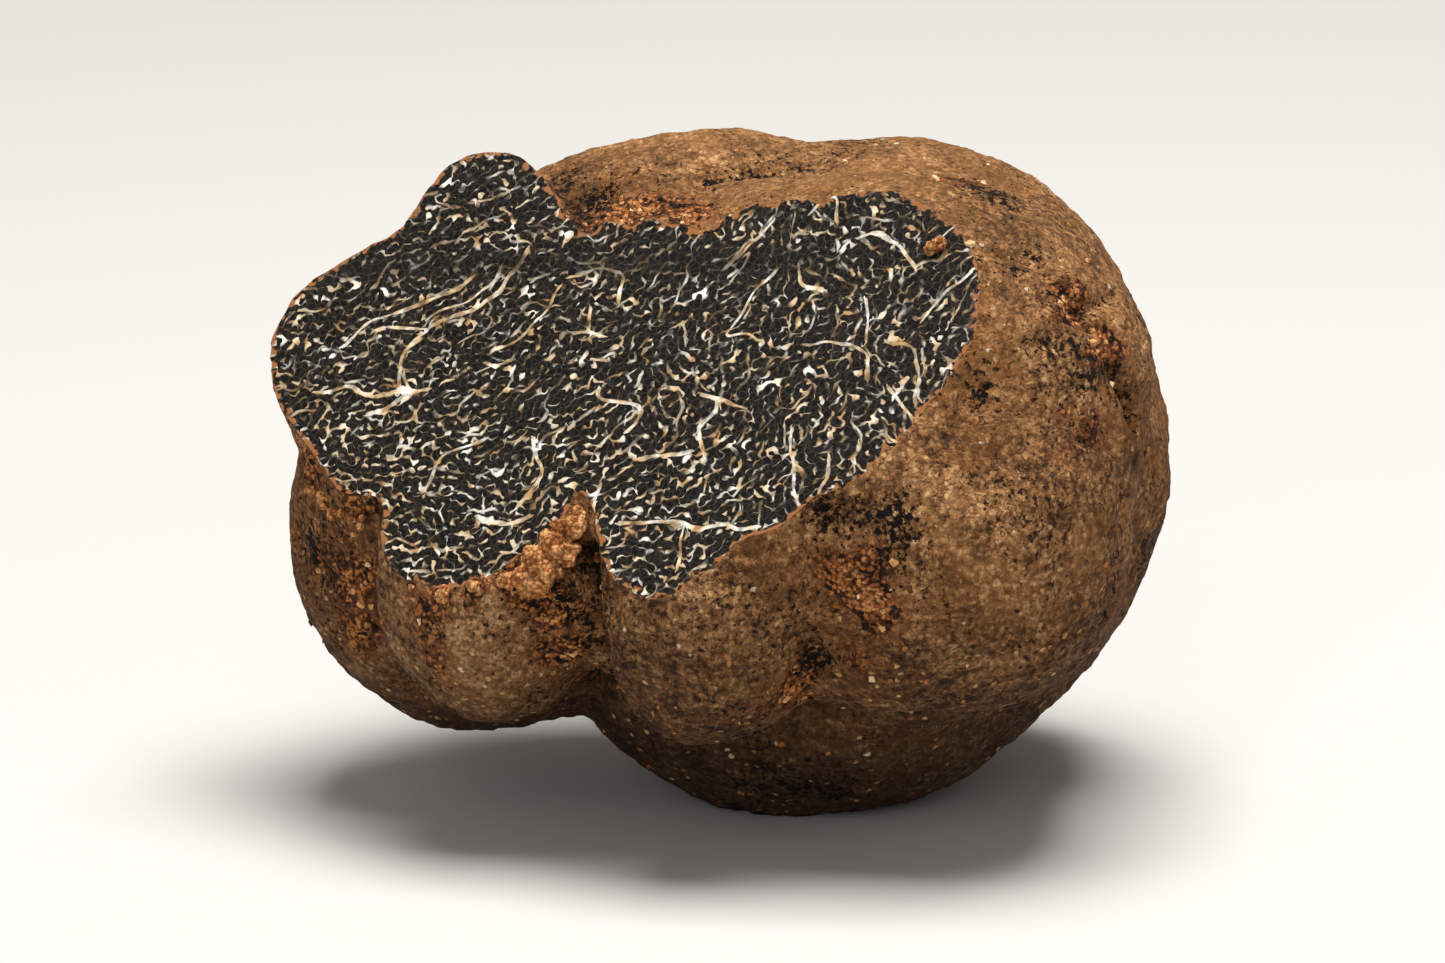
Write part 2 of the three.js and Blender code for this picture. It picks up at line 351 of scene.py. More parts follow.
# Which way the fine veins run: right, up, and degrees from right towards up. Each holds within the blend
# distance, and beyond it falls off by this power of the distance.
VEIN_GRAIN_BLEND = 2.0
VEIN_GRAIN_FALL = 3.0
VEIN_GRAIN = [
    (-26, -1, 20),
    (-21, 4, 35),
    (-16, 12, 15),
    (-14, 2, 50),
    (-18, -4, 10),
    (-13, -10, 165),
    (-7, 5, 30),
    (-5, -6, 60),
    (-5, -12, 15),
    (2, 1, 100),
    (1, 10, 70),
    (4, -10, 20),
    (9, -5, 80),
    (10, 4, 60),
    (13, -6, 100),
    (10, 12, 150),
    (16, 3, 120),
    (18, 9, 60),
]
# The pale knots where veins meet: right, up and radius.
KNOTS = [
    (0.2, 6.8, 0.47),
    (-12.6, -6.2, 0.55),
    (7.2, 1.3, 0.41),
    (-18.6, -2.8, 0.33),
    (3.3, -5, 0.22),
    (10, 2.5, 0.33),
    (-7.4, -5.6, 0.28),
    (9.3, 13.2, 0.28),
    (-21, 12.6, 0.33),
    (-10.6, 12, 0.28),
    (16.6, 1.6, 0.28),
    (-25, -1, 0.33),
    (-22.8, 4.2, 0.33),
    (-2.3, -8.4, 0.3),
    (1.2, -9, 0.28),
    (-12, 5.4, 0.22),
]

SKIN_NAME = "soil-filmed truffle rind"
# A Map Range node with this setting fades softly from 0 at From Min to 1 at From Max, whichever is larger.
SMOOTH = {"interpolation_type": "SMOOTHSTEP"}

# The single grains of soil, per square metre and in metres, as their node tree takes them.
GRAIN_SIZES = {
    "Caked a square metre": 4.5e6,
    "Loose a square metre": 3e4,
    "Smallest": 0.2 * MM,
    "Largest": 0.85 * MM,
    "Sunk": -0.1 * MM,
}
GRAIN_SEED = 20
# How slight and how full a grain can be along its three sides, as shares of its size, how far it can be
# turned, and how far its outline is chipped.
GRAIN_SLIGHTEST = (0.6, 0.6, 0.45)
GRAIN_FULLEST = (1.1, 1.1, 0.9)
GRAIN_TURN = (6.28, 6.28, 6.28)
GRAIN_CHIP = 0.6 * MM

# The studio, in metres: how wide its floor is, how bright the room is, and each light's name, size, power
# and place.
FLOOR_SIZE = 3.0
ROOM_LIGHT = 0.24
LIGHTS = [
    ("key", 0.35, 6.0, (0.05, -0.01, 0.62)),
    ("fill", 0.5, 1.05, (-0.16, -0.58, 0.3)),
]
# The camera: what it looks at, how far off it stands and how steeply it looks down, how wide its view is
# there and how near it can see, all in metres, and its sensor's width in mm.
MIDDLE = Vector(cad_box[0]).lerp(Vector(cad_box[1]), 0.5)
CAMERA_DISTANCE = 0.7
CAMERA_RISE = math.radians(15)
VIEW_WIDTH = 0.097
CAMERA_NEAREST = 0.01
SENSOR = 36.0

# ---------------------------------------------------------------- numbers on points


def lattice_hash(i, j, k, seed):
    """Give each whole-number lattice point its own number from 0 to 1."""
    def whole(values):
        return (values.astype(np.int64) & 0xFFFFFFFF).astype(np.uint32)

    with np.errstate(over="ignore"):
        mixed = whole(i) * np.uint32(0x8DA6B343)
        mixed ^= whole(j) * np.uint32(0xD8163841)
        mixed ^= whole(k) * np.uint32(0xCB1AB31F)
        mixed ^= np.uint32(seed) * np.uint32(0x9E3779B1)
        mixed = (mixed ^ (mixed >> np.uint32(15))) * np.uint32(0x2C1B3C6D)
        mixed = (mixed ^ (mixed >> np.uint32(12))) * np.uint32(0x297A2D39)
        mixed ^= mixed >> np.uint32(15)
    return mixed.astype(np.float64) / 2.0**32


def noise(points, spacing, seed):
    """Smooth noise from -1 to 1, with one random value every spacing."""
    scaled = points / spacing
    cell = np.floor(scaled).astype(np.int64)
    part = scaled - cell
    ease = part**3 * (part * (part * 6 - 15) + 10)
    total = 0.0
    for x in (0, 1):
        for y in (0, 1):
            for z in (0, 1):
                corner = np.abs(1 - np.array((x, y, z)) - ease).prod(axis=1)
                total = total + corner * lattice_hash(cell[:, 0] + x, cell[:, 1] + y, cell[:, 2] + z, seed)
    return total * 2 - 1


def nearest_seed(points, spacing, seed):
    """Distance to the nearest of one random point a cell, in spacings, and that point's own number."""
    scaled = points / spacing
    cell = np.floor(scaled).astype(np.int64)
    nearest = np.full(len(points), 9.0)
    own = np.zeros(len(points))
    for step in np.ndindex(3, 3, 3):
        around = cell + np.array(step) - 1
        place = [lattice_hash(*around.T, seed + turn) for turn in range(3)]
        distance = np.linalg.norm(around + np.stack(place, axis=1) - scaled, axis=1)
        closer = distance < nearest
        nearest[closer] = distance[closer]
        own[closer] = lattice_hash(*around[closer].T, seed + 3)
    return nearest, own


def bumps(points, spacing, seed, reach):
    """A round bump over each random point, 1 at its top and 0 beyond its reach."""
    nearest, own = nearest_seed(points, spacing, seed)
    return np.maximum(0, 1 - (nearest / reach) ** 2), own


def distance_to_line(points, line):
    """Distance from each point to a line of straight stretches."""
    best = np.full(len(points), np.inf)
    for start, end in zip(line[:-1], line[1:]):
        start = np.array(start, float)
        stretch = np.array(end, float) - start
        along = np.clip((points - start) @ stretch / (stretch @ stretch), 0, 1)
        away = points - start - along[:, None] * stretch
        best = np.minimum(best, np.linalg.norm(away, axis=1))
    return best


def distance_to_point(points, middle):
    """Distance from each point to one place."""
    return np.linalg.norm(points - np.array(middle, float), axis=1)


def nearness(away, reach):
    """1 at no distance, a third at the reach, and soon nothing beyond it."""
    return np.exp(-((away / reach) ** 2))


def ease_between(low, high, values):
    """0 below low, 1 above high, and smooth between."""
    part = np.clip((values - low) / (high - low), 0, 1)
    return part * part * (3 - 2 * part)


# ---------------------------------------------------------------- the form


def lobe_reach(directions, centre, half_size):
    """How far a lobe reaches along each direction from the core."""
    centre = np.array(centre, float)
    half_size = np.array(half_size, float)
    # The line from the core meets the lobe where a * r**2 - 2 * b * r + c is 0. Where it misses the lobe,
    # the chord is below 0 and the reach falls away smoothly.
    a = ((directions / half_size) ** 2).sum(axis=1)
    b = directions / half_size @ (centre / half_size)
    c = ((centre / half_size) ** 2).sum() - 1
    chord = (b * b - a * c) / a**2
    return b / a + chord / np.sqrt(np.abs(chord) + LOBE_EDGE**2)


def truffle_radius(directions):
    """The truffle's radius along each direction, with its lobes, furrows, knobs and warts."""
    reaches = np.stack([lobe_reach(directions, *lobe) for lobe in LOBES.values()])
    longest = reaches.max(axis=0)
    radius = longest + LOBE_BLEND * np.log(np.exp((reaches - longest) / LOBE_BLEND).sum(axis=0))
    points = directions * radius[:, None]
    for width, depth, line in FURROWS.values():
        radius = radius - depth * nearness(distance_to_line(points, line), width)
    for width, depth, middle in DENTS.values():
        radius = radius - depth * nearness(distance_to_point(points, middle), width)
    for spacing, height, seed in (SWELL, KNOBS):
        radius = radius + height * noise(points, spacing, seed)
    warts, _ = bumps(points, WARTS[0], WARTS[2], WART_REACH)
    return radius + WARTS[1] * (warts - WART_MEAN)


def read_points(mesh):
    """The mesh's vertices as rows of numbers."""
    values = np.empty(len(mesh.vertices) * 3)
    mesh.vertices.foreach_get("co", values)
    return values.reshape(-1, 3)


def read_normals(mesh):
    """The mesh's vertex normals as rows of numbers."""
    values = np.empty(len(mesh.vertices) * 3)
    mesh.vertex_normals.foreach_get("vector", values)
    return values.reshape(-1, 3)


def write_points(mesh, points):
    """Move the mesh's vertices to new places."""
    mesh.vertices.foreach_set("co", points.ravel())
    mesh.update()


def keep_on_points(mesh, values):
    """Keep named numbers on the mesh's vertices, for its material to read."""
    for name, numbers in values.items():
        mesh.attributes.new(name, "FLOAT", "POINT").data.foreach_set("value", numbers)


def put_in_scene(name, data):
    """Put a mesh, a light or a camera in the scene."""
    thing = bpy.data.objects.new(name, data)
    bpy.context.scene.collection.objects.link(thing)
    return thing


def finished_mesh(holder):
    """What the holder's modifier makes of its mesh, as one plain mesh. The holder is thrown away."""
    graph = bpy.context.evaluated_depsgraph_get()
    result = bpy.data.meshes.new_from_object(holder.evaluated_get(graph))
    bpy.data.objects.remove(holder)
    return result


def new_piece(name, mesh, materials):
    """Put a mesh in the scene as a piece with these materials."""
    piece = put_in_scene(name, mesh)
    for material in materials:
        mesh.materials.append(material)
    return piece


def even_faces(mesh, face):
    """The mesh's outer shape again as one closed skin, in faces of one even size."""
    holder = put_in_scene("even holder", mesh)
    even = holder.modifiers.new("even faces", "REMESH")
    even.mode = "VOXEL"
    even.voxel_size = face
    return finished_mesh(holder)


def whole_body():
    """The truffle before the knife, in faces of one even size."""
    ball = bmesh.new()
    bmesh.ops.create_icosphere(ball, subdivisions=BALL_STEPS, radius=1)
    mesh = bpy.data.meshes.new("ball")
    ball.to_mesh(mesh)
    ball.free()
    directions = read_points(mesh)
    directions /= np.linalg.norm(directions, axis=1)[:, None]
    write_points(mesh, directions * truffle_radius(directions)[:, None])
    return even_faces(mesh, SKIN_FACE)


def hollowness(mesh, rounds):
    """How far each vertex lies under the smoothed skin, in mm: above 0 in creases, below 0 on ridges."""
    points = read_points(mesh)
    edges = np.empty(len(mesh.edges) * 2, dtype=np.int64)
    mesh.edges.foreach_get("vertices", edges)
    near, far = edges.reshape(-1, 2).T
    neighbours = np.bincount(edges, minlength=len(points))[:, None]
    smooth = points.copy()
    for _ in range(rounds):
        total = np.stack([
            np.bincount(near, smooth[far, axis], len(points))
            + np.bincount(far, smooth[near, axis], len(points))
            for axis in range(3)
        ], axis=1)
        smooth = total / neighbours
    return ((smooth - points) * read_normals(mesh)).sum(axis=1)


def patchy(points, patches):
    """1 in the middle of each ragged patch, falling away to 0 past its reach."""
    ragged = 1 + PATCH_EDGE[1] * noise(points, PATCH_EDGE[0], PATCH_EDGE[2])
    amount = np.zeros(len(points))
    for reach, middle in patches.values():
        away = distance_to_point(points, middle) * ragged
        amount = np.maximum(amount, nearness(away, reach))
    return amount


def light_and_shade_tone(points):
    """How much paler or darker the skin is painted at each point: painted light and painted shade."""
    tone = np.zeros(len(points))
    for reach, amount, middle in LIGHT_AND_SHADE_PATCHES.values():
        tone += amount * nearness(distance_to_point(points, middle), reach)
    return tone


def here_and_there(points, stray):
    """Large clouds where something lies thickly, and nothing between them."""
    spacing, begins, full, thick, seed = stray
    return thick * ease_between(begins, full, noise(points, spacing, seed))


def uneven(points, amount, level, unevenness):
    """The amount made uneven, and kept from 0 to 1."""
    spacing, share, seed = unevenness
    return np.clip(amount * (level + share * noise(points, spacing, seed)), 0, 1)


def caked_soil(points, hollow):
    """How thickly soil is caked on each point of the skin, from 0 to 1."""
    begins, full, thick = HOLLOW_SOIL
    in_hollows = thick * ease_between(begins, full, hollow)
    in_patches = PATCH_SOIL * patchy(points, SOIL_PATCHES)
    amount = np.maximum.reduce((in_hollows, here_and_there(points, STRAY_SOIL), in_patches))
    return uneven(points, amount, SOIL_LEVEL, SOIL_UNEVEN)


def wrinkles(points):
    """How deep each point of the skin lies in a wrinkle: in mm, and as a share of that wrinkle's depth."""
    depth = np.zeros(len(points))
    share = np.zeros(len(points))
    for width, full_depth, line in WRINKLES.values():
        within = nearness(distance_to_line(points, line), width)
        depth += full_depth * within
        share = np.maximum(share, within)
    return depth, share


def black_pits(points):
    """How thickly black pits crowd each point of the skin, from 0 to 1."""
    in_wrinkles = WRINKLE_PITS * wrinkles(points)[1]
    in_patches = patchy(points, PIT_PATCHES)
    amount = np.maximum.reduce((here_and_there(points, STRAY_PITS), in_patches, in_wrinkles))
    return uneven(points, amount, PIT_LEVEL, PIT_UNEVEN)


def roughen(mesh, soil, pitted):
    """Raise the rind's grains, sink its pits and crumble the caked soil."""
    points = read_points(mesh)
    coarse, size = bumps(points, COARSE_GRAIN[0], COARSE_GRAIN[2], GRAIN_REACH)
    fine, _ = bumps(points, FINE_GRAIN[0], FINE_GRAIN[2], GRAIN_REACH)
    pits, which = bumps(points, PITS[0], PITS[2], PIT_REACH)
    height = COARSE_GRAIN[1] * (coarse * (FLATTEST_GRAIN + size) - GRAIN_MEAN)
    height += FINE_GRAIN[1] * (fine - GRAIN_MEAN)
    height -= PITS[1] * pits * (which < PIT_SHARE)
    height += CRUMBLE[1] * soil * noise(points, CRUMBLE[0], CRUMBLE[2])
    height -= EATEN[1] * pitted * (1 + noise(points, EATEN[0], EATEN[2]))
    height -= wrinkles(points)[0]
    write_points(mesh, points + read_normals(mesh) * height[:, None])


def weather_skin(mesh):
    """Soil, pit and roughen the skin, and keep on it how hollow, caked and pitted it is, and its painted
    light and shade.
    """
    points = read_points(mesh)
    hollow = hollowness(mesh, HOLLOW_ROUNDS)
    soil = caked_soil(points, hollow)
    pitted = black_pits(points)
    roughen(mesh, soil, pitted)
    keep_on_points(mesh, {"hollow": hollow, "soil": soil, "pitted": pitted, "painted_light_and_shade": light_and_shade_tone(points)})


# ---------------------------------------------------------------- the knife


def distance_to_rim(flat, rim):
    """Distance from each flat point to the nearest of the rim's stretches."""
    best = np.full(len(flat), np.inf)
    for start, end in rim:
        best = np.minimum(best, distance_to_line(flat, (start, end)))
    return best


def inside_rim(flat, rim):
    """Whether each flat point lies inside the rim, by counting crossings."""
    inside = np.zeros(len(flat), bool)
    for start, end in rim:
        spans = (start[1] > flat[:, 1]) != (end[1] > flat[:, 1])
        slope = (end[0] - start[0]) / (end[1] - start[1] if end[1] != start[1] else 1)
        inside ^= spans & (flat[:, 0] < start[0] + slope * (flat[:, 1] - start[1]))
    return inside


def cut_away(body, origin, normal):
    """Throw away what lies past the plane, and give the edges of the rim that this leaves."""
    cut = bmesh.ops.bisect_plane(
        body,
        geom=body.verts[:] + body.edges[:] + body.faces[:],
        dist=CUT_SLACK,
        plane_co=Vector(origin),
        plane_no=Vector(normal),
        clear_outer=True,
    )
    return [part for part in cut["geom_cut"] if isinstance(part, bmesh.types.BMEdge)]


def rows_inside(flat, rim, face):
    """Rows of flat points one face apart, inside the rim and clear of it."""
    low = flat.min(axis=0)
    high = flat.max(axis=0)
    across = np.arange(low[0], high[0], face)
    rows = np.arange(low[1], high[1], face * math.sqrt(0.75))
    grid = np.array([
        (x + face / 2 * (row % 2), y)
        for row, y in enumerate(rows)
        for x in across
    ])
    grid = grid[inside_rim(grid, rim)]
    return grid[distance_to_rim(grid, rim) > face * RIM_CLEARANCE]


def cut_flat(body, origin, normal, right, up, face, material):
    """Cut the body along a plane and close it with small faces. It gives the rim's flat stretches."""
    rim_edges = cut_away(body, origin, normal)
    rim_verts = list(dict.fromkeys(vert for edge in rim_edges for vert in edge.verts))
    order = {vert: number for number, vert in enumerate(rim_verts)}
    corners = np.array([vert.co for vert in rim_verts]) - origin
    flat = np.stack([corners @ right, corners @ up], axis=1)
    pairs = [(order[edge.verts[0]], order[edge.verts[1]]) for edge in rim_edges]
    rim = [(flat[a], flat[b]) for a, b in pairs]

    # The new faces share the rim's corners, so they close the body without a gap. Output type 1 keeps to
    # the triangles inside the rim, and True asks which corner each place came from.
    everything = [Vector(place) for place in (*flat, *rows_inside(flat, rim, face))]
    made = delaunay_2d_cdt(everything, pairs, [], 1, CORNER_SLACK, True)
    places, triangles, sources = made[0], made[2], made[3]
    verts = []
    for place, source in zip(places, sources):
        if source and source[0] < len(rim_verts):
            verts.append(rim_verts[source[0]])
        else:
            verts.append(body.verts.new(origin + right * place[0] + up * place[1]))
    places = np.array([tuple(place) for place in places])
    middles = places[np.array(triangles)].mean(axis=1)
    for triangle, inside in zip(triangles, inside_rim(middles, rim)):
        if inside:
            closed = body.faces.new([verts[number] for number in triangle])
            closed.material_index = material
    for edge in rim_edges:
        edge.smooth = False
    return rim


def slice_and_stand(mesh):
    """Cut off the slice and the spot that the truffle stands on. It gives the knife face's rim."""
    body = bmesh.new()
    body.from_mesh(mesh)
    rim = cut_flat(body, CUT_NORMAL * CUT_DEPTH, CUT_NORMAL, CUT_RIGHT, CUT_UP, FLESH_FACE, 1)
    cut_flat(body, DOWN * FOOT_DEPTH, DOWN, FOOT_RIGHT, FOOT_UP, FOOT_FACE, 0)
    body.normal_update()
    body.to_mesh(mesh)
    body.free()
    return rim


def rounded_line(corners):
    """A smooth line through the corners, in short straight stretches."""
    corners = np.array([corners[0], *corners, corners[-1]], float)
    line = []
    for before, start, end, after in zip(corners, corners[1:], corners[2:], corners[3:]):
        for part in np.arange(LINE_STEPS) / LINE_STEPS:
            line.append(0.5 * (
                2 * start
                + (end - before) * part
                + (2 * before - 5 * start + 4 * end - after) * part**2
                + (3 * start - before - 3 * end + after) * part**3
            ))
    return [*line, corners[-1]]


def bent_face(flat):
    """The flat points moved about a little, so that no vein on them runs straight."""
    level = np.zeros((len(flat), 1))
    spacing, distance, seed = VEIN_BEND
    drift = [noise(np.hstack((flat, level + layer)), spacing, seed) for layer in VEIN_BEND_LAYERS]
    return flat + distance * np.stack(drift, axis=1)


def main_vein_offsets(flat):
    """Distance from each flat point to the nearest main vein, and its offset to one side in half widths."""
    away = np.full(len(flat), VEIN_FIELD)
    offset = np.full(len(flat), VEIN_FIELD / MAIN_VEINS[0][0])
    for half_width, corners in MAIN_VEINS:
        line = rounded_line(corners)
        for start, end in zip(line[:-1], line[1:]):
            distance = distance_to_line(flat, (start, end))
            from_start = flat - start
            stretch = np.array(end) - start
            side = np.sign(from_start[:, 0] * stretch[1] - from_start[:, 1] * stretch[0])
            closer = distance < away
            away[closer] = distance[closer]
            offset[closer] = (side * distance / half_width)[closer]
    return away, offset


def knot_depth(flat):
    """How far each flat point lies outside the nearest knot, in mm: below 0 inside it."""
    best = np.full(len(flat), VEIN_FIELD)
    for across, up, radius in KNOTS:
        best = np.minimum(best, distance_to_point(flat, (across, up)) - radius)
    return best


def vein_direction(flat):
    """Which way the fine veins run at each flat point, in radians from right towards up."""
    total = np.zeros((len(flat), 2))
    for across, up, degrees in VEIN_GRAIN:
        away = distance_to_point(flat, (across, up))
        weight = (away**2 + VEIN_GRAIN_BLEND**2) ** (-VEIN_GRAIN_FALL / 2)
        # A vein has no front end, so its direction is added up at twice its angle.
        twice = math.radians(2 * degrees)
        total += weight[:, None] * np.array((math.cos(twice), math.sin(twice)))
    return np.arctan2(total[:, 1], total[:, 0]) / 2


def only_there(there, values, elsewhere):
    """The values at the points that are there, and one number at every other point."""
    spread = np.full(len(there), float(elsewhere))
    spread[there] = values
    return spread


def marble_face(mesh, rim):
    """Keep on the knife face where its veins run, and give it the slight waves that the knife left."""
    points = read_points(mesh)
    on_face = np.abs(points @ CUT_NORMAL - CUT_DEPTH) < FACE_SLACK
    flat = np.stack([points @ CUT_RIGHT, points @ CUT_UP], axis=1)[on_face]
    to_rim = distance_to_rim(flat, rim)
    bent = bent_face(flat)
    away, offset = main_vein_offsets(bent)
    keep_on_points(mesh, {
        "rim": only_there(on_face, to_rim, 0),
        "vein": only_there(on_face, away, VEIN_FIELD),
        "vein side": only_there(on_face, offset, VEIN_FIELD),
        "knot": only_there(on_face, knot_depth(bent), VEIN_FIELD),
    })
    grain = np.zeros((len(points), 3))
    direction = vein_direction(flat)
    grain[on_face] = np.stack((np.cos(direction), np.sin(direction), 0 * direction), axis=1)
    mesh.attributes.new("grain", "FLOAT_VECTOR", "POINT").data.foreach_set("vector", grain.ravel())
    height = sum(high * noise(points[on_face], spacing, seed) for spacing, high, seed in FACE_WAVES)
    height *= ease_between(0, FACE_MARGIN, to_rim)
    points[on_face] += CUT_NORMAL * height[:, None]
    write_points(mesh, points)


def build_truffle():
    """The whole truffle as one closed mesh in metres: skin, foot and knife face."""
    mesh = whole_body()
    weather_skin(mesh)
    rim = slice_and_stand(mesh)
    marble_face(mesh, rim)
    write_points(mesh, (read_points(mesh) + CORE) * MM)
    mesh.polygons.foreach_set("use_smooth", [True] * len(mesh.polygons))
    return mesh


# ---------------------------------------------------------------- materials


def colour(code):
    """Turn an sRGB hex value into the linear colour that a shader takes."""
    parts = [int(code[place:place + 2], 16) / 255 for place in (1, 3, 5)]
    linear = [part / 12.92 if part <= 0.04045 else ((part + 0.055) / 1.055) ** 2.4 for part in parts]
    return (*linear, 1.0)


def per_mm(size):
    """The texture scale that gives a pattern of this size in millimetres."""
    return 1 / (size * MM)


def node(tree, kind, inputs=None, stops=None, **settings):
    """Add one node with its settings. Each input takes a value, or another node or socket to link."""
    made = tree.nodes.new(kind)
    for name, value in settings.items():
        setattr(made, name, value)
    for socket, value in (inputs or {}).items():
        if isinstance(value, bpy.types.Node):
            value = value.outputs[0]
        if isinstance(value, bpy.types.NodeSocket):
            tree.links.new(value, made.inputs[socket])
        else:
            made.inputs[socket].default_value = value
    if stops:
        ramp = made.color_ramp
        for spare in list(ramp.elements)[1:]:
            ramp.elements.remove(spare)
        ramp.elements[0].position = stops[0][0]
        ramp.elements[0].color = colour(stops[0][1])
        for place, code in stops[1:]:
            ramp.elements.new(place).color = colour(code)
    return made


def new_material(name):
    """An empty node material and its tree."""
    made = bpy.data.materials.new(name)
    made.use_nodes = True
    made.node_tree.nodes.clear()
    return made, made.node_tree


def shifted(tree, place, size, amount, start):
    """The place moved about by a slow noise of this size, by up to about this amount, both in mm.

    Noises with different starts move things different ways.
    """
    begun = node(tree, "ShaderNodeVectorMath", {0: place, 1: start}, operation="ADD")
    drift = node(tree, "ShaderNodeTexNoise", {"Vector": begun, "Scale": per_mm(size), "Detail": 2.0})
    centred = node(tree, "ShaderNodeVectorMath", {0: drift.outputs["Color"], 1: (0.5, 0.5, 0.5)},
                   operation="SUBTRACT")
    moved = node(tree, "ShaderNodeVectorMath", {0: centred, "Scale": amount * MM}, operation="SCALE")
    return node(tree, "ShaderNodeVectorMath", {0: place, 1: moved}, operation="ADD")


def granules(tree, place, lift, gaps):
    """Dry clay soil in granules, tan to rust with black gaps: its colour and its height.

    A higher lift gives lighter granules, and gaps from 0 to 1 says how dark it is between them.
    """
    crushed = shifted(tree, place, CLAY_GRANULE, CLAY_GRANULE, (0.01, 0.04, 0.02))
    granule = node(tree, "ShaderNodeTexVoronoi", {"Vector": crushed, "Scale": per_mm(CLAY_GRANULE)})
    number = node(tree, "ShaderNodeSeparateColor", {"Color": granule.outputs["Color"]})
    clump = node(tree, "ShaderNodeTexNoise", {
        "Vector": place, "Scale": per_mm(3 * CLAY_GRANULE), "Detail": 3.0})
    together = node(tree, "ShaderNodeMath", {0: number.outputs["Red"], 1: clump.outputs["Fac"]},
                    operation="ADD")
    shade = node(tree, "ShaderNodeMath", {0: together, 1: 0.5, 2: lift}, operation="MULTIPLY_ADD")
    clay = node(tree, "ShaderNodeValToRGB", {"Fac": shade}, stops=[
        (0.3, "#0f0905"), (0.38, "#472511"), (0.48, "#8a4f28"), (0.62, "#b66c37"), (0.82, "#d0935a"),
        (1.0, "#e6a971")])
    edge = node(tree, "ShaderNodeMapRange", {
        "Value": granule.outputs["Distance"], "From Min": 0.35, "From Max": 0.7, "To Max": gaps})
    gapped = node(tree, "ShaderNodeMixRGB", {"Fac": edge, "Color1": clay, "Color2": colour("#170d07")})
    height = node(tree, "ShaderNodeMath", {0: shade, 1: granule.outputs["Distance"]}, operation="SUBTRACT")
    return gapped.outputs["Color"], height


